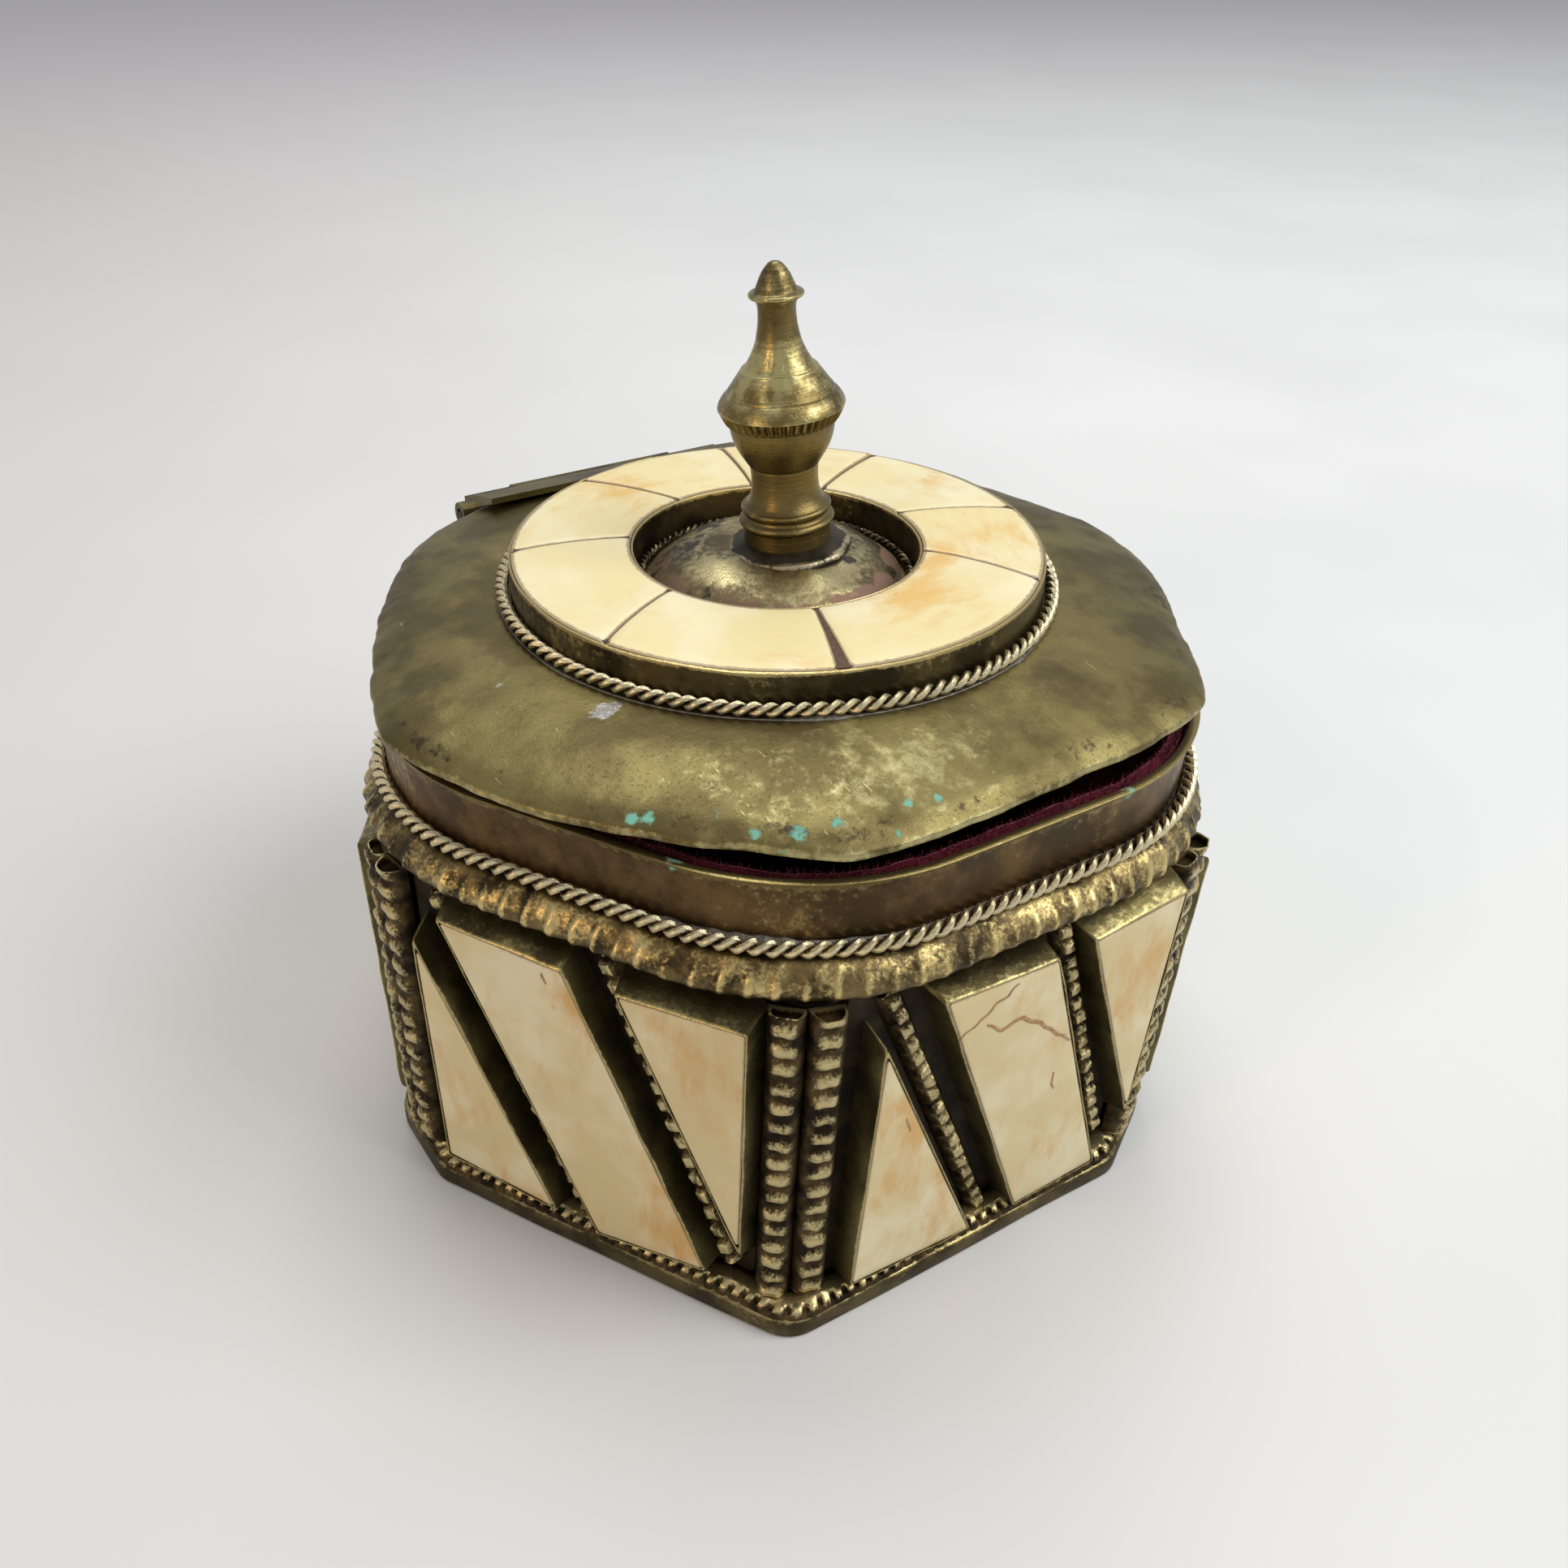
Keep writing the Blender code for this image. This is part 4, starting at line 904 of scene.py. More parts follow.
def crack(number, points, width, name):
    """A thin line of dirt that lies in a plaque's face: an oval section carried along a wandering line,
    thinning to its ends."""
    points = np.array(points, float)
    share = np.linspace(0, len(points) - 1, 40)
    line = np.stack([np.interp(share, np.arange(len(points)), points[:, axis]) for axis in (0, 1)], -1)
    line += 0.18 * np.stack((ripple(line, 2.6, 7), ripple(line, 2.6, 8)), -1)
    way = np.gradient(line, axis=0)
    side = np.stack((way[:, 1], -way[:, 0]), -1) / np.linalg.norm(way, axis=1)[:, None]
    thick = width * (0.25 + 0.75 * np.sin(np.linspace(0.05, math.pi - 0.05, 40)) ** 0.6) / 2
    angle = np.linspace(0, TURN, 6, endpoint=False)
    flat = line[:, None] + side[:, None] * (thick[:, None] * np.cos(angle))[..., None]
    height = BEZEL_DEPTHS[number] + 0.03 + 0.05 * np.sin(angle) + 0 * flat[..., 0]
    grid = np.concatenate((flat, height[..., None]), -1)
    Surface().grid(on_facet(grid, FACETS[number])).make(name, crack_dirt, "box", BONE)


def facet_strip(number, part, ends):
    """A stamped strip that runs down a facet in the gap between two bezels."""
    top, bottom = share_points(ends)
    length = np.linalg.norm(bottom - top)
    walked = np.linspace(0, length, round(length / SLANTED_PITCH * 11))
    way = (bottom - top) / length
    places = np.zeros((len(walked), 3))
    places[:, :2] = top + way * walked[:, None]
    places[:, 2] = PANEL_THICKNESS
    side = np.broadcast_to(np.array((way[1], -way[0], 0.0)), places.shape)
    face = np.broadcast_to(np.array((0.0, 0.0, 1.0)), places.shape)
    grid, rise = stamped(
        places, side, face, walked, SLANTED_STRIP_WIDTH, 1.9, SLANTED_PITCH, number * 3 + part,
        (0.24, 0.44, 0.40, 0.72),
    )
    return on_facet(grid, FACETS[number]), rise


def facets():
    kinds = ("triangle", "slanted", "inverted")
    for number, degrees in FACETS.items():
        parts = layout(number)
        panel = Surface()
        sheet = outline(share_points(((-1, 1), (-1, 0), (1, 0), (1, 1))), 0.5, 120)
        grid = carried(sheet, [(0.0, 0.0), (0.0, 0.45), (-0.15, PANEL_THICKNESS)])
        panel.grid(on_facet(grid, degrees), rise=np.zeros(grid.shape[:2]))
        panel.make(f"facet_wall_{number}", wall_brass, "box", AGED)
        rims = Surface()
        for part, kind in enumerate(kinds):
            plaque(number, kind, parts[part])
            bezel(rims, number, part, parts[part])
        rims.make(f"bezels_{number}", bezel_brass, "box", AGED, f"facet_panel_{number}")
        strips = Surface()
        for part in (0, 1):
            grid, rise = facet_strip(number, part, parts[3 + part])
            strips.grid(grid, rise=rise)
        strips.make(f"slanted_bead_strips_{number}", bead_brass, "box", BRIGHT)
    for count, (number, points, width) in enumerate(CRACKS):
        crack(number, points, width, f"bone_crack_{count + 1}")


def corner_strips():
    """Two upright stamped strips to a corner, one on each facet, turned a little to the corner, with a thin
    dark seam between and sawn tops."""
    turned = math.radians(CORNER_STRIP_TURN)
    half = CORNER_STRIP_WIDTH / 2
    for number, degrees in FACETS.items():
        work = Surface()
        edge = PANEL_BACK * math.tan(math.pi / 6) + 0.10
        for part, (turn, sign) in enumerate(((degrees, 1.0), (degrees + 60.0, -1.0))):
            top = PANEL_HIGH - 0.3 + 0.5 * chance(number, part)
            walked = np.linspace(0, top - PANEL_LOW, 170)
            bow = 0.08 * np.sin(walked * 0.13 + number + part) * (1 - walked / walked[-1])
            along = sign * (edge - half * math.cos(turned))
            places = np.stack(
                (along + bow, top - walked, np.full_like(walked, 0.5 + half * math.sin(turned))), -1
            )
            side = np.broadcast_to(np.array((-math.cos(turned), 0.0, sign * math.sin(turned))), places.shape)
            face = np.broadcast_to(np.array((sign * math.sin(turned), 0.0, math.cos(turned))), places.shape)
            grid, rise = stamped(
                places, side, face, walked + part, CORNER_STRIP_WIDTH, CORNER_STRIP_HEIGHT, BEAD_PITCH,
                number + 20 * part, (0.12, 0.48, 0.40, 0.96), -0.8,
            )
            work.grid(on_facet(grid, turn), rise=rise)
        work.make(f"corner_beads_{number}", bead_brass, "box", BRIGHT, f"corner_bead_strip_{number}")


# The shoulder and the collar


def shoulder_band():
    """A ribbon bent round the shoulder and leaning outwards at its foot: a half-round section, crimped in
    waves that deepen to its lower edge, and dented all over."""
    path, out, walked, whole = hexagon(COLLAR_APOTHEM + 1.35, COLLAR_CORNER, 2400)[:4]
    beads = round(whole / BEAD_PITCH)
    lean = math.radians(38.0) + 0.12 * ripple(path, 23, 31)
    outward = np.concatenate((out, np.zeros((len(path), 1))), 1)
    upward = np.array((0.0, 0.0, 1.0))
    side = outward * np.sin(lean)[:, None] - upward * np.cos(lean)[:, None]
    face = outward * np.cos(lean)[:, None] + upward * np.sin(lean)[:, None]
    u = np.linspace(-1, 1, 17)
    around = np.stack((walked[:, None] + 0 * u, 0 * walked[:, None] + 2.2 * u), -1)
    phase = TURN * walked[:, None] * beads / whole + 0.9 * ripple(path, 19, 36)[:, None] + 0.5 * u
    deep = (0.35 + 0.65 * smooth(u, -0.4, 0.7)) * (0.75 + 0.3 * ripple(path, 27, 37)[:, None])
    crimp = deep * (np.cos(phase) + 0.3 * np.cos(2 * phase + 1.0))
    dents = 0.5 * ripple(around, 6.5, 34) + 0.3 * ripple(around, 2.6, 35)
    ridge = np.sqrt(1 - np.abs(u) ** 2.6)
    up = 1.15 * ridge + 0.17 * crimp + 0.17 * dents * ridge
    width = 2.25 * (1 + 0.035 * crimp * smooth(u, 0.2, 0.9))
    across = np.concatenate((u * width, width[:, -1:], -width[:, :1]), 1)[..., None]
    up_all = flat_back(up, -0.35)[..., None]
    middle = np.concatenate((path, np.full((len(path), 1), COLLAR_LOW + 1.15)), 1)
    grid = middle[:, None] + side[:, None] * across + face[:, None] * up_all
    rise = 0.34 * ridge + 0.40 * smooth(crimp, 0.15, 1.1) + 0.22 * dents
    rise = flat_back(np.clip(rise, 0, 1.2))
    Surface().grid(grid, loop=True, rise=rise).make(
        "shoulder_band_crimped", band_brass, "box", BRIGHT, "shoulder_bead_band"
    )


def solder_ring(path, away, wide, height, tall, place=np.asarray):
    """A seam of solder along a path: an oval section that swells where more solder ran."""
    turns = np.linspace(0, TURN, 8, endpoint=False)
    profile = [(away + wide * math.cos(turn), height + tall * math.sin(turn)) for turn in turns]
    return Surface().grid(place(carried(path, profile)), loop=True)


def shoulder_rope():
    """Two wires wound round each other at the foot of the collar, and the solder that holds them."""
    path = hexagon(ROPE_APOTHEM, COLLAR_CORNER + 1.1, ROPE_TURNS * ROPE_STEPS)
    work = Surface()
    for grid, rise in rope(path, ROPE_HEIGHT, ROPE_RADIUS * 1.08, ROPE_TURNS):
        work.grid(grid, loop=True, rise=rise)
    work.make("shoulder_rope_twisted", rope_brass, "box", BRIGHT, "shoulder_rope")
    path = hexagon(ROPE_APOTHEM - 0.75, COLLAR_CORNER + 0.3, 700)
    much = 0.40 * smooth(ripple(path[0], 31, 44), 0.5, 1.3) * (1 + 0.5 * ripple(path[0], 3, 45))
    seam = solder_ring(path, 0.10, 0.12 + much, ROPE_HEIGHT + 0.25, 0.12 + much)
    seam.make("shoulder_solder", solder, "box", AGED)


def collar():
    """The plain collar: a wall that bows a little, with a rim rolled outwards and worn bright, and a painted
    sheen at its rounded corners.
    """
    path = hexagon(COLLAR_APOTHEM, COLLAR_CORNER, 420)
    dent = 0.13 * ripple(path[0], 30, 51)
    small = 0.05 * ripple(path[0], 8, 52)
    tall = RIM - COLLAR_LOW
    profile = [
        (0.0, 0.0), (0.02, 0.2), (0.05, 0.4), (0.06, 0.6), (0.05, 0.78), (0.08, 0.88), (0.34, 0.945),
        (0.58, 0.975),
    ]
    rings = [
        (across + (dent + small) * math.sin(math.pi * share), COLLAR_LOW + tall * share)
        for across, share in profile
    ]
    rings += [
        (0.68, RIM - 0.10), (0.50, RIM), (0.0, RIM - 0.02), (-0.35, RIM - 0.12), (-0.62, RIM - 0.5),
        (-COLLAR_THICKNESS, RIM - 1.2), (-COLLAR_THICKNESS, COLLAR_LOW),
    ]
    grid = carried(path, rings)
    worn = np.array((0, 0, 0, 0, 0, 0.12, 0.5, 0.85, 1, 1, 0.9, 0.5, 0.2, 0, 0), float)[:, None]
    # Painted sheen: the rounded corners are laid barer and brighter; the rest of the blotches are patina worn
    # through.
    corner = smooth(np.cos(6 * np.arctan2(path[0][:, 1], path[0][:, 0])), 0.55, 1.0)
    blotch_and_sheen = 0.30 * smooth(ripple(grid, 24, 53), 0.1, 1.2) + 0.22 * corner
    rise = worn + blotch_and_sheen * (1 - worn)
    green = spots(grid, ((-34, -33, 1.3, 0.7), (12, -47, 1.5, 0.45))) * smooth(
        grid[..., 2], RIM - 3.0, RIM - 0.5
    )
    Surface().grid(grid, loop=True, rise=rise, green=green).make(
        "collar_worn", collar_brass, "box", COPPER, "collar"
    )


# The velvet


def wall_lining():
    """Velvet against the inside wall, its top edge standing just under the rim, with a loose pile along
    it."""
    path = hexagon(LINING_APOTHEM, 25.5, 360)
    soft = 0.12 * ripple(path[0], 5, 61)
    step = COLLAR_LOW + 0.3
    profile = [
        (LINING_STEP, LINING_LOW),
        (LINING_STEP, step),
        (0.0, step + 2.0),
        (0.0, LINING_TOP - 0.5),
        (-0.25, LINING_TOP - 0.1 + soft * 0.5),
        (-0.75, LINING_TOP + 0.05 + soft),
        (-1.25, LINING_TOP - 0.2 + soft),
        (soft - LINING_THICKNESS, LINING_TOP - 0.9),
        (soft - LINING_THICKNESS, step + 2.0),
        (LINING_STEP - LINING_THICKNESS, step),
        (LINING_STEP - LINING_THICKNESS, LINING_LOW),
    ]
    lining = Surface().grid(carried(path, profile), loop=True).make(
        "velvet_wall_lining", maroon_velvet, "box", VELVET, "wall_lining"
    )
    places, out, _, whole = hexagon(LINING_APOTHEM - LINING_THICKNESS / 2, 24.7, PILE_HAIRS)[:4]
    number = np.arange(len(places))
    foot = np.concatenate(
        (
            places + out * 1.3 * (chance(number, 1) - 0.5)[:, None],
            np.full((len(places), 1), LINING_TOP - 0.25),
        ),
        1,
    )
    lean = np.stack((chance(number, 2) - 0.5, chance(number, 3) - 0.5, 0.55 + 0.45 * chance(number, 4)), -1)
    tip = foot + lean * (0.75, 0.75, 0.9)
    angle = TURN * (np.arange(3) / 3 + chance(number, 5)[:, None])
    ring = np.stack((np.cos(angle), np.sin(angle), 0 * angle), -1)
    hair = np.stack(
        (
            foot[:, None] + 0.075 * ring, foot[:, None] * 0.5 + tip[:, None] * 0.5 + 0.05 * ring,
            tip[:, None] + 0.012 * ring,
        ),
        1,
    )
    pile = Surface()
    pile.points.append(hair.reshape(-1, 3))
    start = 9 * number[:, None]
    for row in (0, 3):
        for k in range(3):
            quad = np.array((row + k, row + (k + 1) % 3, row + 3 + (k + 1) % 3, row + 3 + k))
            pile.faces += (start + quad).tolist()
    for end in ((2, 1, 0), (6, 7, 8)):
        pile.faces += (start + np.array(end)).tolist()
    pile.count = 9 * len(number)
    pile.marks.append((pile.count, {}))
    pile = pile.make("velvet_edge_pile", maroon_velvet, "box", VELVET, sharp=80)


def floor_pad():
    """The padded floor: a rounded hexagon that swells between its tucked edges."""
    path = hexagon(PAD_APOTHEM, 22.0, 300)
    profile = [(-0.5, LINING_LOW), (0.0, LINING_LOW + 0.5), (-0.1, PAD_TOP - 0.7), (-0.6, PAD_TOP - 0.25)]
    grid = carried(path, profile)
    shares = np.linspace(0.95, 0.08, 14)
    grid = inward(grid, shares, 0.0)
    out = np.concatenate(((1, 1, 1, 1), shares))[:, None]
    swell = PAD_TOP - PAD_SWELL * out**4 + 0.05 * ripple(grid[..., :2], 18, 62)
    grid[4:, :, 2] = swell[4:]
    pad = Surface().grid(grid).make("velvet_floor_pad", maroon_velvet, "box", VELVET, "floor_pad")


def lid_lining():
    """Velvet drawn flat under the lid, its edge turned in."""
    path = hexagon(LID_LINING_APOTHEM, 24.0, 300)
    top = LID_SEAT - LID_RISE - LID_THICKNESS - 0.3
    under = top - 0.75 - 0.04 * ripple(path[0], 7, 63)
    profile = [(-0.6, top), (-0.1, top - 0.1), (0.0, top - 0.4), (-0.4, under)]
    shares = np.linspace(0.95, 0.08, 12)
    grid = inward(carried(path, profile), shares, 0.0)
    grid[4:, :, 2] = top - 0.85 + 0.05 * ripple(grid[4:, :, :2], 14, 64)
    piece = Surface().grid(on_lid(grid)).make("velvet_lid_lining", maroon_velvet, "lid", VELVET, "lid_lining")


# The lid

# The sheet's hand-cut edge: angle about the finial and distance from it.
LID_EDGE = (
    (-176, 51.5), (-171, 51.1), (-163, 50.1), (-155, 49.9), (-147, 49.4), (-138, 48.8), (-134.5, 49.3), (
        -129, 49.1
    ),
    (-122, 49.8), (-115.5, 51.3), (-109, 49.9), (-100, 48.3), (-94, 47.4), (-87, 46.9), (-80, 47.4), (
        -72, 48.8
    ),
    (-65, 50.1), (-58.5, 51.5), (-50, 49.8), (-40, 47.9), (-28, 48.1), (-14, 49.4), (-4, 49.4), (6, 47.9),
    (25, 47.2), (42, 48.2), (54, 50.2), (62, 50.4), (72, 49.4), (82, 48.2), (90, 47.8), (98, 48.2), (
        108, 49.6
    ),
    (117, 49.9), (128, 49.7), (140, 48.2), (153, 47.5), (167, 48.3), (176, 49.9),
)
GREEN_SPOTS = (
    (-38, -32, 0.7, 0.9), (-36.5, -33, 0.8, 1.0), (-29, -40.6, 0.7, 0.8), (-25.7, -43.3, 0.9, 1.0), (
        -28, -44, 0.6, 0.9
    ),
    (-17, -48, 0.8, 0.6), (-22, -44.5, 0.9, 0.7), (-14, -45.5, 0.8, 0.8), (-11, -46.2, 0.7, 0.7), (
        -31, -37, 0.5, 0.6
    ),
)


def lid_edge(angle):
    """Distance of the sheet's edge from the finial at each angle, with small nicks and waves."""
    degrees, distance = np.array(LID_EDGE).T
    at = np.degrees(angle)
    steps = np.linspace(-1.6, 1.6, 5)
    total = sum(np.interp((at + step + 176) % 360 - 176, degrees, distance, period=360) for step in steps)
    around = bearing(angle) * 50
    return total / len(steps) + 0.10 * ripple(around, 9, 71) + 0.05 * ripple(around, 3, 72)


def lid_top(away, edge):
    """Height of the sheet: flat under the drum, then falling with the square of the way to the edge, and
    curling down at the last."""
    share = np.clip((away - LID_SEAT_RADIUS) / (edge - 0.8 - LID_SEAT_RADIUS), 0, 1.1)
    return LID_SEAT - LID_RISE * share**2 - 0.45 * smooth(away, edge - 2.4, edge + 0.2)


def lid_sheet():
    """The domed sheet: rings at shares of the way to a hand-cut edge, a rounded edge and the same rings
    underneath."""
    angle = TURN * np.arange(720) / 720 - math.pi
    edge = lid_edge(angle)
    shares = np.concatenate((np.linspace(0.06, 0.60, 7), np.linspace(0.64, 0.975, 30)))[:, None]
    away = np.concatenate((shares * edge, edge - np.array((0.75, 0.4, 0.12, 0.0))[:, None]))
    flat = np.stack((away * np.cos(angle), away * np.sin(angle)), -1)
    outer = smooth(away, LID_SEAT_RADIUS - 1, LID_SEAT_RADIUS + 5)
    beaten = outer * (0.10 * ripple(flat, 17, 73) + 0.035 * ripple(flat, 6, 74))
    top = lid_top(away, edge) + beaten
    top[-2:] -= np.array((0.08, 0.30))[:, None]
    grid = np.concatenate((flat, top[..., None]), -1)
    inside = edge - np.array((0.08, 0.5, 1.0))[:, None]
    under = np.concatenate((inside, shares[::-1] * edge * 0.985))
    flat = np.stack((under * np.cos(angle), under * np.sin(angle)), -1)
    below = lid_top(under, edge) - LID_THICKNESS
    below[:2] += np.array((0.12, 0.0))[:, None]
    below = np.minimum(below, LID_SEAT - LID_THICKNESS)
    grid = np.concatenate((grid, np.concatenate((flat, below[..., None]), -1)))
    flat = grid[..., :2]
    share = np.hypot(flat[..., 0], flat[..., 1]) / edge
    upper = (np.arange(len(grid)) < len(away))[:, None]
    # Painted highlight: pale spots at the front of the sheet lay bare metal where a soft reflection lies; the
    # ripple adds wear.
    pale = spots(flat, ((-27, -32, 9, 0.35), (-18, -37, 10, 0.5), (-8, -40, 9, 0.45), (-23.4, -47.7, 3, 0.6)))
    rise = upper * (0.75 * pale + 0.12 * ripple(flat, 9, 77))
    rise = rise + 0.7 * smooth(share, 0.992, 1.0)
    dark = 0.36 * smooth(share, 0.925, 0.955) * (1 - smooth(share, 0.98, 0.99)) * (
        0.8 + 0.3 * ripple(flat, 12, 75)
    )
    green = upper * spots(flat / 0.965, GREEN_SPOTS)
    silver = upper * spots(
        flat, ((-32.2, -16.7, 1.3, 0.9), (-30.6, -16.2, 1.2, 0.8), (-38.6, -5.3, 0.8, 0.6))
    )
    work = Surface().grid(on_lid(grid), rise=rise, green=green, silver=silver, dark=dark * upper)
    work.make("lid_sheet", lid_brass, "lid", AGED, "lid_plate")


def lathe(profile, count=180):
    """Spins a profile of distance and height about the lid's axis."""
    return carried(circle(0.0, count), list(profile))


def drum():
    """The round tray of the ring: a plain outer wall with a thin worn edge, and the wall of the well."""
    path = circle(0.0, 360)
    wave = 0.06 * ripple(path[1] * 30, 14, 81)
    outer = [
        (DRUM_RADIUS + 0.05, DRUM_LOW),
        (DRUM_RADIUS, DRUM_LOW + 1.5),
        (DRUM_RADIUS - 0.05, DRUM_TOP - 0.5),
        (DRUM_RADIUS - 0.08, DRUM_TOP - 0.08 + wave),
        (DRUM_RADIUS - 0.3, DRUM_TOP + 0.02 + wave),
        (DRUM_RADIUS - 0.40, DRUM_TOP - 0.1 + wave),
        (DRUM_RADIUS - 0.40, DRUM_LOW + DRUM_WALL),
        (WELL_RADIUS + 0.40, DRUM_LOW + DRUM_WALL),
        (WELL_RADIUS + 0.40, DRUM_TOP - 0.1),
        (WELL_RADIUS + 0.25, DRUM_TOP + 0.05),
        (WELL_RADIUS + 0.05, DRUM_TOP - 0.08),
        (WELL_RADIUS, DRUM_TOP - 0.6),
        (WELL_RADIUS, DRUM_LOW),
    ]
    grid = carried(path, outer)
    rise = np.array((0.1, 0, 0.1, 0.9, 1, 0.6, 0, 0, 0.5, 1, 0.8, 0.1, 0), float)[:, None]
    rise = np.broadcast_to(rise, grid.shape[:2]) + 0.25 * smooth(ripple(grid, 17, 82), 0.3, 1.3)
    Surface().grid(on_lid(grid), loop=True, rise=rise).make("drum_worn", drum_brass, "lid", AGED, "drum")


def lid_ropes():
    """The ropes at the foot of the drum and in the well, and the solder round the drum."""
    for name, radius, thick, turns, node in (
        ("drum_rope_twisted", DRUM_RADIUS + 0.25 + DRUM_ROPE_RADIUS, DRUM_ROPE_RADIUS, 60, "drum_rope"),
        ("well_rope_twisted", WELL_RADIUS - 0.2 - WELL_ROPE_RADIUS, WELL_ROPE_RADIUS, 46, "well_rope"),
    ):
        path = circle(radius, turns * ROPE_STEPS)
        work = Surface()
        for grid, rise in rope(path, LID_SEAT + 0.25 + thick, thick, turns):
            work.grid(on_lid(grid), loop=True, rise=rise * (1.0 if thick > 0.6 else 0.35))
        work.make(name, rope_brass, "lid", BRIGHT, node)
    path = circle(DRUM_RADIUS + 2 * DRUM_ROPE_RADIUS + 0.1, 500)
    much = 0.7 * smooth(ripple(path[0], 20, 84), 0.3, 1.2) * (0.7 + 0.3 * ripple(path[0], 2.5, 85))
    seam = solder_ring(path, -0.25, 0.2 + 0.45 * much, LID_SEAT + 0.05, 0.12 + 0.3 * much, on_lid)
    seam.make("drum_solder", solder, "lid", AGED)


SEAMS = (-161.9, -110.5, -45.5, -7.8, 34.5, 68.7, 105.7, 148.1)
SEAM_SLANTS = (7.3, -2.2, -11.6, -10.6, -5.0, 3.8, 9.1, 9.5)
WEDGE = 1
WEDGE_WIDTH = 1.7
RING_STEP = 1.2
RING_COLUMNS = 15
RING_STAINS = (
    (2, -20, 3.5, 0.7), (8, -19, 4, 0.8), (14, -14, 4, 0.7), (4, -26, 4, 0.35), (-12, -24, 5, 0.25),
    (24, -14, 5, 0.3), (-24, -6, 4, 0.2), (27, 4, 4, 0.35), (-8, 25, 6, 0.5),
)


def ring_segments():
    """Bone segments between uneven seams. A section with eased edges is carried along an arc, and sinks a
    little at each seam."""
    inner, outer = WELL_RADIUS + 0.42, DRUM_RADIUS - 0.42
    base, top = DRUM_LOW + DRUM_WALL + 0.2, DRUM_TOP + 0.2
    away = np.concatenate((np.linspace(0.0, 1.0, RING_COLUMNS), (1.0, 0.5, 0.0)))
    for number, start in enumerate(SEAMS):
        end = SEAMS[(number + 1) % len(SEAMS)]
        end += 360.0 if end < start else 0.0
        steps = round((end - start) / RING_STEP)
        share = np.linspace(0.0, 1.0, steps)[:, None]
        radius = inner + (outer - inner) * away
        slant = np.array((SEAM_SLANTS[number], SEAM_SLANTS[(number + 1) % len(SEAMS)]))
        wide = WEDGE_WIDTH if number == WEDGE else 0.0
        first = start + slant[0] * (away - 0.5) + wide * (0.35 + away) + np.degrees(0.10 / radius)
        last = end + slant[1] * (away - 0.5) - np.degrees(0.10 / radius)
        angle = np.radians(first + (last - first) * share)
        near = np.minimum(share, 1 - share) * (last - first) * math.pi / 180 * radius
        eased_edge = 0.16 * (1 - smooth(near, 0.0, 0.45)) + 0.12 * (
            1 - smooth(np.minimum(away, 1 - away), 0.0, 0.035)
        )
        level = top - eased_edge + 0.05 * ripple(np.array((number * 9.0,)), 5, 90)
        level = level + 0.10 * (1 - (2 * away - 1) ** 2)
        height = np.concatenate((level[:, :RING_COLUMNS], np.full((steps, 3), base)), 1)
        grid = np.stack((radius * np.cos(angle), radius * np.sin(angle), height), -1)
        edge = np.maximum(
            1 - smooth(near, 0.05, 0.4), 1 - smooth(np.minimum(away, 1 - away) * (outer - inner), 0.05, 0.4)
        )
        stain = spots(grid, RING_STAINS) + 0.25 * (chance(number, 7) - 0.4)
        middle = math.radians((start + end) / 2)
        along = -grid[..., 0] * math.sin(middle) + grid[..., 1] * math.cos(middle)
        across = grid[..., 0] * math.cos(middle) + grid[..., 1] * math.sin(middle)
        lay = np.stack((across + 50 * number, along, height), -1)
        work = Surface().grid(on_lid(grid), edge=edge * 0.8, stain=stain, lay=lay)
        work.make(f"ring_bone_{number + 1}", ring_bone, "lid", BONE, f"ring_segment_{number + 1}")
    profile = [
        (WELL_RADIUS + DRUM_WALL, DRUM_LOW + 1.0), (WELL_RADIUS + DRUM_WALL, top - 0.14),
        (DRUM_RADIUS - DRUM_WALL, top - 0.14), (DRUM_RADIUS - DRUM_WALL, DRUM_LOW + 1.0),
    ]
    Surface().grid(on_lid(lathe(profile, 240)), loop=True).make("ring_filler", resin, "lid", BONE)


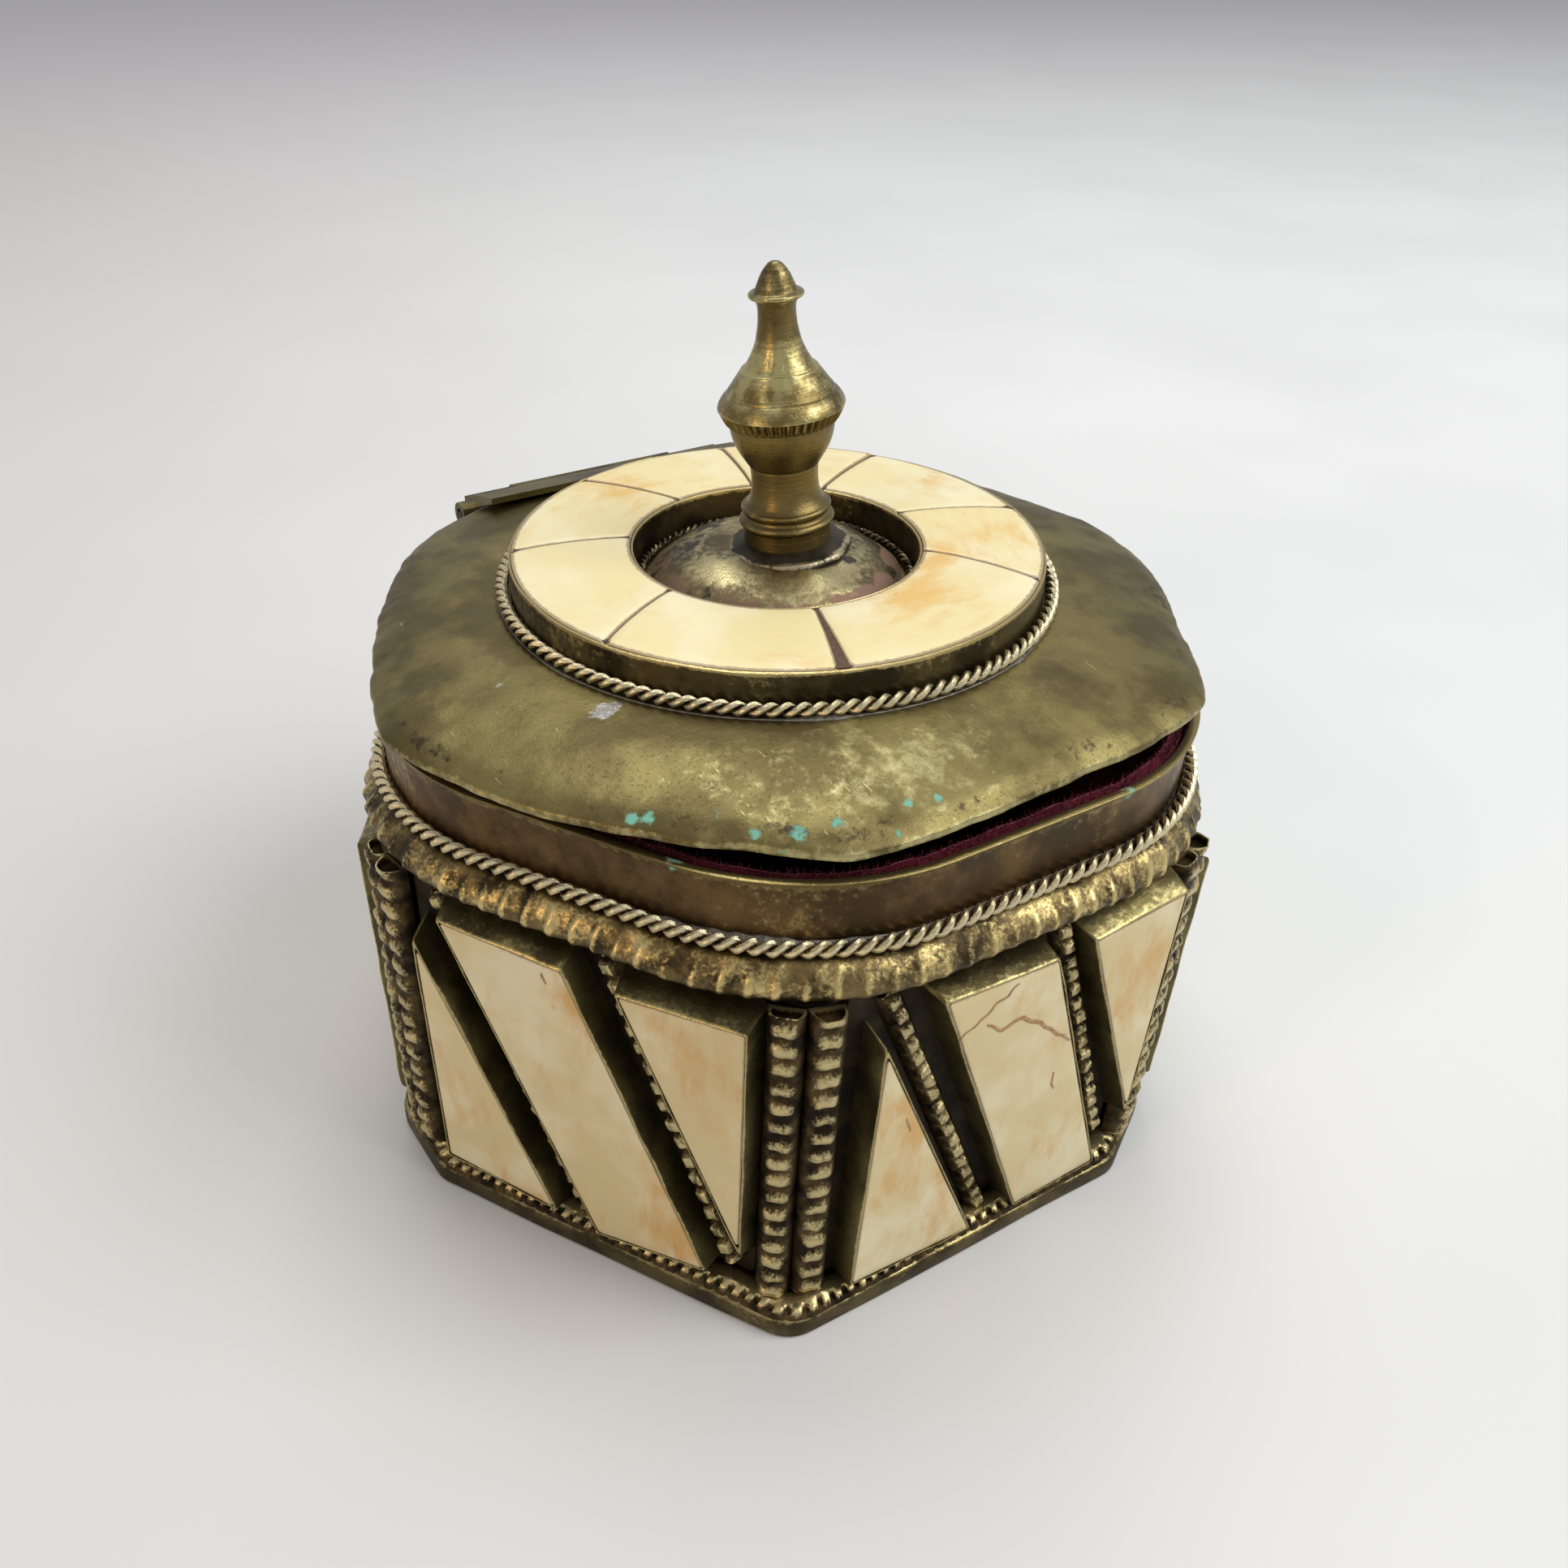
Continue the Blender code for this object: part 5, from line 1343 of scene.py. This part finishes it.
def boss():
    """The convex disc in the well, brassy on its crown and coppery at its rim."""
    shares = np.linspace(0.0, 1.0, 16)
    away = SOLDER_RADIUS + (BOSS_RADIUS - SOLDER_RADIUS) * shares
    crown = BOSS_LOW + 0.7 + (BOSS_TOP - BOSS_LOW + 0.4) * (1 - shares**2.0) + 0.12 * np.exp(
        -(((away - 12.0) / 0.8) ** 2)
    )
    profile = [(1.8, BOSS_LOW), (BOSS_RADIUS, BOSS_LOW), (BOSS_RADIUS, BOSS_LOW + 0.5)]
    profile += list(zip(away[::-1], crown[::-1])) + [(1.8, BOSS_TOP + 0.9)]
    grid = lathe(profile, 240)
    grid[2:-1, :, 2] += 0.06 * ripple(grid[2:-1, :, :2], 7, 91)
    far = np.hypot(grid[..., 0], grid[..., 1])
    copper = smooth(far, 11.6, 13.2) * (0.65 + 0.3 * ripple(grid[..., :2], 5, 92))
    dark = spots(
        grid,
        (
            (5.0, -7.7, 1.1, 0.9), (9, -3, 2.0, 0.6), (-3, 11, 4.0, 0.7), (-9, 6, 4.0, 0.6),
            (-12, -4, 1.5, 0.5),
        ),
    )
    rise = 0.45 * np.exp(-(((far - 9.6) / 1.8) ** 2)) + 0.6 * spots(
        grid, ((-8.6, -1.8, 2.6, 1.0), (2, -10, 4, 0.7))
    )
    Surface().grid(on_lid(grid), loop=True, rise=rise, copper=copper, dark=dark).make(
        "boss_worn", boss_brass, "lid", COPPER, "boss"
    )
    path = circle(0.0, 200)
    wave = 0.16 * ripple(path[1] * 7, 4.5, 93)
    low = BOSS_TOP + 0.85
    profile = [
        (4.6, low), (4.6, low + 1.3), (5.6, low + 1.1), (6.3, low + 0.75), (6.75 + wave, low + 0.62),
        (7.05 + wave, low + 0.60), (7.25 + wave, low + 0.40), (7.35 + wave, low),
    ]
    grid = carried(path, profile)
    rise = np.array((0, 0, 0, 0, 0.7, 1.0, 0.9, 0.3), float)[:, None] + 0.25 * ripple(grid, 4, 94)
    Surface().grid(finial_place(grid), loop=True, rise=rise).make("finial_solder", burnt_brass, "lid", AGED)


# The finial's profile: distance from its axis and height, in the lid's frame, part by part.
FINIAL_TOP = (
    (0.0, 103.85), (0.5, 103.8), (1.0, 103.4), (1.55, 102.65), (2.0, 101.7), (2.25, 101.15), (2.45, 100.95),
    (2.85, 100.85), (3.0, 100.65), (2.9, 100.4), (2.35, 100.2),
)
FINIAL_NECK = ((2.3, 100.1), (2.1, 99.5), (2.07, 98.6), (2.2, 97.3), (2.55, 95.8), (3.1, 94.5), (3.7, 93.5))
FINIAL_SHOULDER = (
    (3.75, 93.45), (4.1, 93.15), (4.25, 93.05), (4.5, 92.7), (5.05, 91.95), (5.6, 91.2), (5.95, 90.75),
    (6.02, 90.55),
)
FINIAL_DISC = ((6.1, 90.5), (6.55, 90.1), (6.95, 89.5), (7.1, 89.1), (7.08, 88.85))
FINIAL_TEETH = ((7.02, 88.78), (6.7, 88.1), (6.3, 87.45), (5.95, 87.35))
FINIAL_CUP = ((5.9, 87.3), (5.85, 86.5), (5.6, 85.4), (5.15, 84.35), (4.55, 83.35), (4.1, 82.65))
FINIAL_STEM = (
    (4.05, 82.6), (3.88, 82.45), (3.9, 82.2), (3.82, 81.2), (3.85, 80.0), (4.0, 79.1), (4.35, 78.3),
    (4.8, 77.85),
)
FINIAL_FOOT = (
    (5.05, 77.8), (5.2, 77.55), (5.1, 77.2), (4.85, 76.95), (4.95, 76.6), (5.35, 76.35), (5.5, 76.05),
    (5.4, 75.75), (5.1, 75.4), (5.05, 74.2), (5.2, FINIAL_LOW - 0.3),
)
# Heights of bands worn bright at the turned edges, which also carry painted highlights, and their strengths.
FINIAL_WORN_AND_HIGHLIGHTS = ((100.65, 0.25), (93.1, 0.12), (88.85, 0.12), (77.6, 0.15), (76.05, 0.2))
KNURL_TEETH = 46
FINIAL_ROUND = 8 * KNURL_TEETH
FINIAL_SHIFT = 1.45
FINIAL_TILT = math.radians(4.0)
FINIAL_SIDEWAYS = (0.8516, -0.524)


def finial_place(points):
    """From a level finial to where it was soldered: a little to the camera's right, and tilted to its
    left."""
    tall = points[..., 2] - FINIAL_LOW
    along = points[..., 0] * FINIAL_SIDEWAYS[0] + points[..., 1] * FINIAL_SIDEWAYS[1]
    moved = FINIAL_SHIFT - along + along * math.cos(FINIAL_TILT) - tall * math.sin(FINIAL_TILT)
    up = FINIAL_LOW + tall * math.cos(FINIAL_TILT) + along * math.sin(FINIAL_TILT)
    x = points[..., 0] + moved * FINIAL_SIDEWAYS[0]
    y = points[..., 1] + moved * FINIAL_SIDEWAYS[1]
    return on_lid(np.stack((x, y, up), -1))


def finial():
    """The turned finial: a profile spun about its axis, with teeth cut round the under side of its widest
    disc."""
    parts = (
        FINIAL_TOP, FINIAL_NECK, FINIAL_SHOULDER, FINIAL_DISC, FINIAL_TEETH, FINIAL_CUP, FINIAL_STEM,
        FINIAL_FOOT,
    )
    profile = np.concatenate([eased(part, 4) for part in parts])[1:]
    away, height = np.maximum(profile[:, 0], 0.08), profile[:, 1]
    grid = lathe(zip(away, height), FINIAL_ROUND)
    angle = TURN * np.arange(FINIAL_ROUND) / FINIAL_ROUND
    tooth = 1 - np.abs((angle * KNURL_TEETH / TURN) % 1 - 0.5) * 2
    tooth = smooth(tooth, 0.1, 0.75)
    cut = (smooth(height, 87.3, 87.7) * (1 - smooth(height, 88.82, 88.95)))[:, None]
    grid[..., :2] *= 1 - 0.075 * cut[..., None] * tooth[None, :, None]
    degrees = np.degrees(angle) - 360 * (angle > math.pi)
    place = np.stack(
        (np.broadcast_to(degrees, grid.shape[:2]), np.broadcast_to(5 * height[:, None], grid.shape[:2])), -1
    )
    chips = spots(place, ((-122, 469, 8, 0.8), (-112, 466, 6, 0.8), (-128, 464, 5, 0.6), (-140, 472, 5, 0.4)))
    grid[..., :2] *= 1 - 0.025 * np.clip(chips, 0, 1)[..., None]
    # Bands at the turned edges are worn bright and also carry painted highlights. Painted shade: a lighter
    # band over the shoulder and lower neck, a darker upper neck, and a darker cup, stem and foot under the
    # disc, a little less dark at the foot.
    worn = sum(strength * np.exp(-(((height - level) / 0.22) ** 2)) for level, strength in FINIAL_WORN_AND_HIGHLIGHTS)
    shade = 0.20 * smooth(height, 91, 94) * (1 - smooth(height, 95.5, 97))
    shade -= 0.34 * smooth(height, 95.5, 97.5) * (1 - smooth(height, 99.6, 100.3))
    foot = smooth(height, 79, 78) * smooth(height, 75.6, 76.0)
    shade -= 0.42 * (1 - smooth(height, 87.2, 88.0)) * (1 - 0.4 * foot)
    rise = (worn + shade)[:, None] + 0.5 * np.clip(chips, 0, 1) - 0.45 * cut * tooth
    work = Surface().grid(
        finial_place(grid), rise=rise, turned=np.broadcast_to(height[:, None], grid.shape[:2])
    )
    work.make("finial_turned", finial_brass, "lid", BRIGHT, "finial", sharp=28)


# The frame's own nodes that stay


def dress(node, finish):
    materials = frame["nodes"][node].data.materials
    materials.clear()
    materials.append(finish)


KEPT = (
    ("body_shell", wall_brass),
    ("shoulder_plate", wall_brass),
    ("hinge_leaf_body", bezel_brass),
    ("hinge_leaf_lid", bezel_brass),
    ("hinge_pin", bead_brass),
    ("finial_nut", plate_brass),
)
for kept, finish in KEPT:
    dress(kept, finish)

base_plate()
foot_strip()
facets()
corner_strips()
shoulder_band()
shoulder_rope()
collar()
wall_lining()
floor_pad()
lid_lining()
lid_sheet()
drum()
lid_ropes()
ring_segments()
boss()
finial()


# Floor, light and camera


def floor():
    """A pale cloth floor with painted shade: it grows darker towards the back, and darker and warmer towards
    the left, where a painted shadow lies.
    """
    made, recipe, shader = material("pale floor with painted shade")
    place = recipe.place()
    cloth = recipe.noise(place, 9.0, 2.0, 0.5)
    near = recipe.blend(
        recipe.step(cloth, 0.3, 0.7), colour(0.680, 0.690, 0.680), colour(0.720, 0.730, 0.720)
    )
    split = recipe.add("SeparateXYZ", {"Vector": place}).outputs
    # Painted shade: the floor darkens towards the back, and a warm painted shadow darkens its left side.
    back = recipe.work("ADD", recipe.work("MULTIPLY", split[0], 0.12), recipe.work("MULTIPLY", split[1], 1.0))
    left = recipe.work("SUBTRACT", recipe.work("MULTIPLY", split[1], 0.45), split[0])
    tint = recipe.blend(recipe.step(left, -0.12, 0.40), near, colour(0.57, 0.545, 0.525))
    tint = recipe.blend(recipe.step(back, 0.15, 1.3), tint, colour(0.54, 0.525, 0.535))
    fill(recipe, shader, Base_Color=tint, Roughness=0.85, Specular_IOR_Level=0.2)
    mesh = bpy.data.meshes.new("floor")
    reach = 6.0
    mesh.from_pydata(
        [(-reach, -reach, 0), (reach, -reach, 0), (reach, reach, 0), (-reach, reach, 0)], [], [(0, 1, 2, 3)]
    )
    mesh.materials.append(made)
    placed("floor", mesh)


def lamp(name, place, size, power, tint=(1.0, 1.0, 1.0)):
    """A square soft lamp that faces the box."""
    light = bpy.data.lights.new(name, "AREA")
    light.shape = "SQUARE"
    light.size = size
    light.energy = power
    light.color = tint
    back = np.array(place, float) - (0.0, 0.0, 0.05)
    back /= np.linalg.norm(back)
    right = np.cross((0.0, 0.0, 1.0), back)
    right /= np.linalg.norm(right)
    columns = np.stack((right, np.cross(back, right), back, place), 1)
    placed(name, light).matrix_world = Matrix(np.vstack((columns, (0, 0, 0, 1))).tolist())


floor()
lamp("key", (0.60, -0.60, 0.95), 0.8, 9.5)
lamp("sky", (0.20, 0.46, 1.10), 0.6, 4.8)
lamp("warm side", (-0.85, -0.15, 0.40), 0.2, 1.3, (1.0, 0.66, 0.34))

world = bpy.data.worlds.new("room")
world.use_nodes = True
world.node_tree.nodes["Background"].inputs["Color"].default_value = colour(0.96, 0.97, 1.0)
world.node_tree.nodes["Background"].inputs["Strength"].default_value = 0.5
bpy.context.scene.world = world

# The camera stands where the photograph was taken; its centre pixel is kept by a small shift.
IMAGE = 1932.0
SENSOR = 36.0
FOCAL = 1711.53
CENTRE = (892.25, 1095.44)
RIGHT = (0.851583, -0.524053, 0.013213)
UPWARD = (0.313715, 0.529653, 0.788067)
BACKWARD = (-0.419987, -0.66696, 0.615447)
STAND = (-0.086794, -0.125769, 0.141485)

camera = bpy.data.cameras.new("camera")
camera.sensor_width = SENSOR
camera.lens = FOCAL / IMAGE * SENSOR
camera.shift_x = (IMAGE / 2 - CENTRE[0]) / IMAGE
camera.shift_y = (CENTRE[1] - IMAGE / 2) / IMAGE
camera.clip_start = 0.005
camera.clip_end = 50.0
viewer = placed("camera", camera)
viewer.matrix_world = Matrix(
    [[RIGHT[k], UPWARD[k], BACKWARD[k], STAND[k]] for k in range(3)] + [[0, 0, 0, 1]]
)
bpy.context.scene.camera = viewer
bpy.context.scene.view_settings.view_transform = "Standard"

bpy.context.view_layer.update()
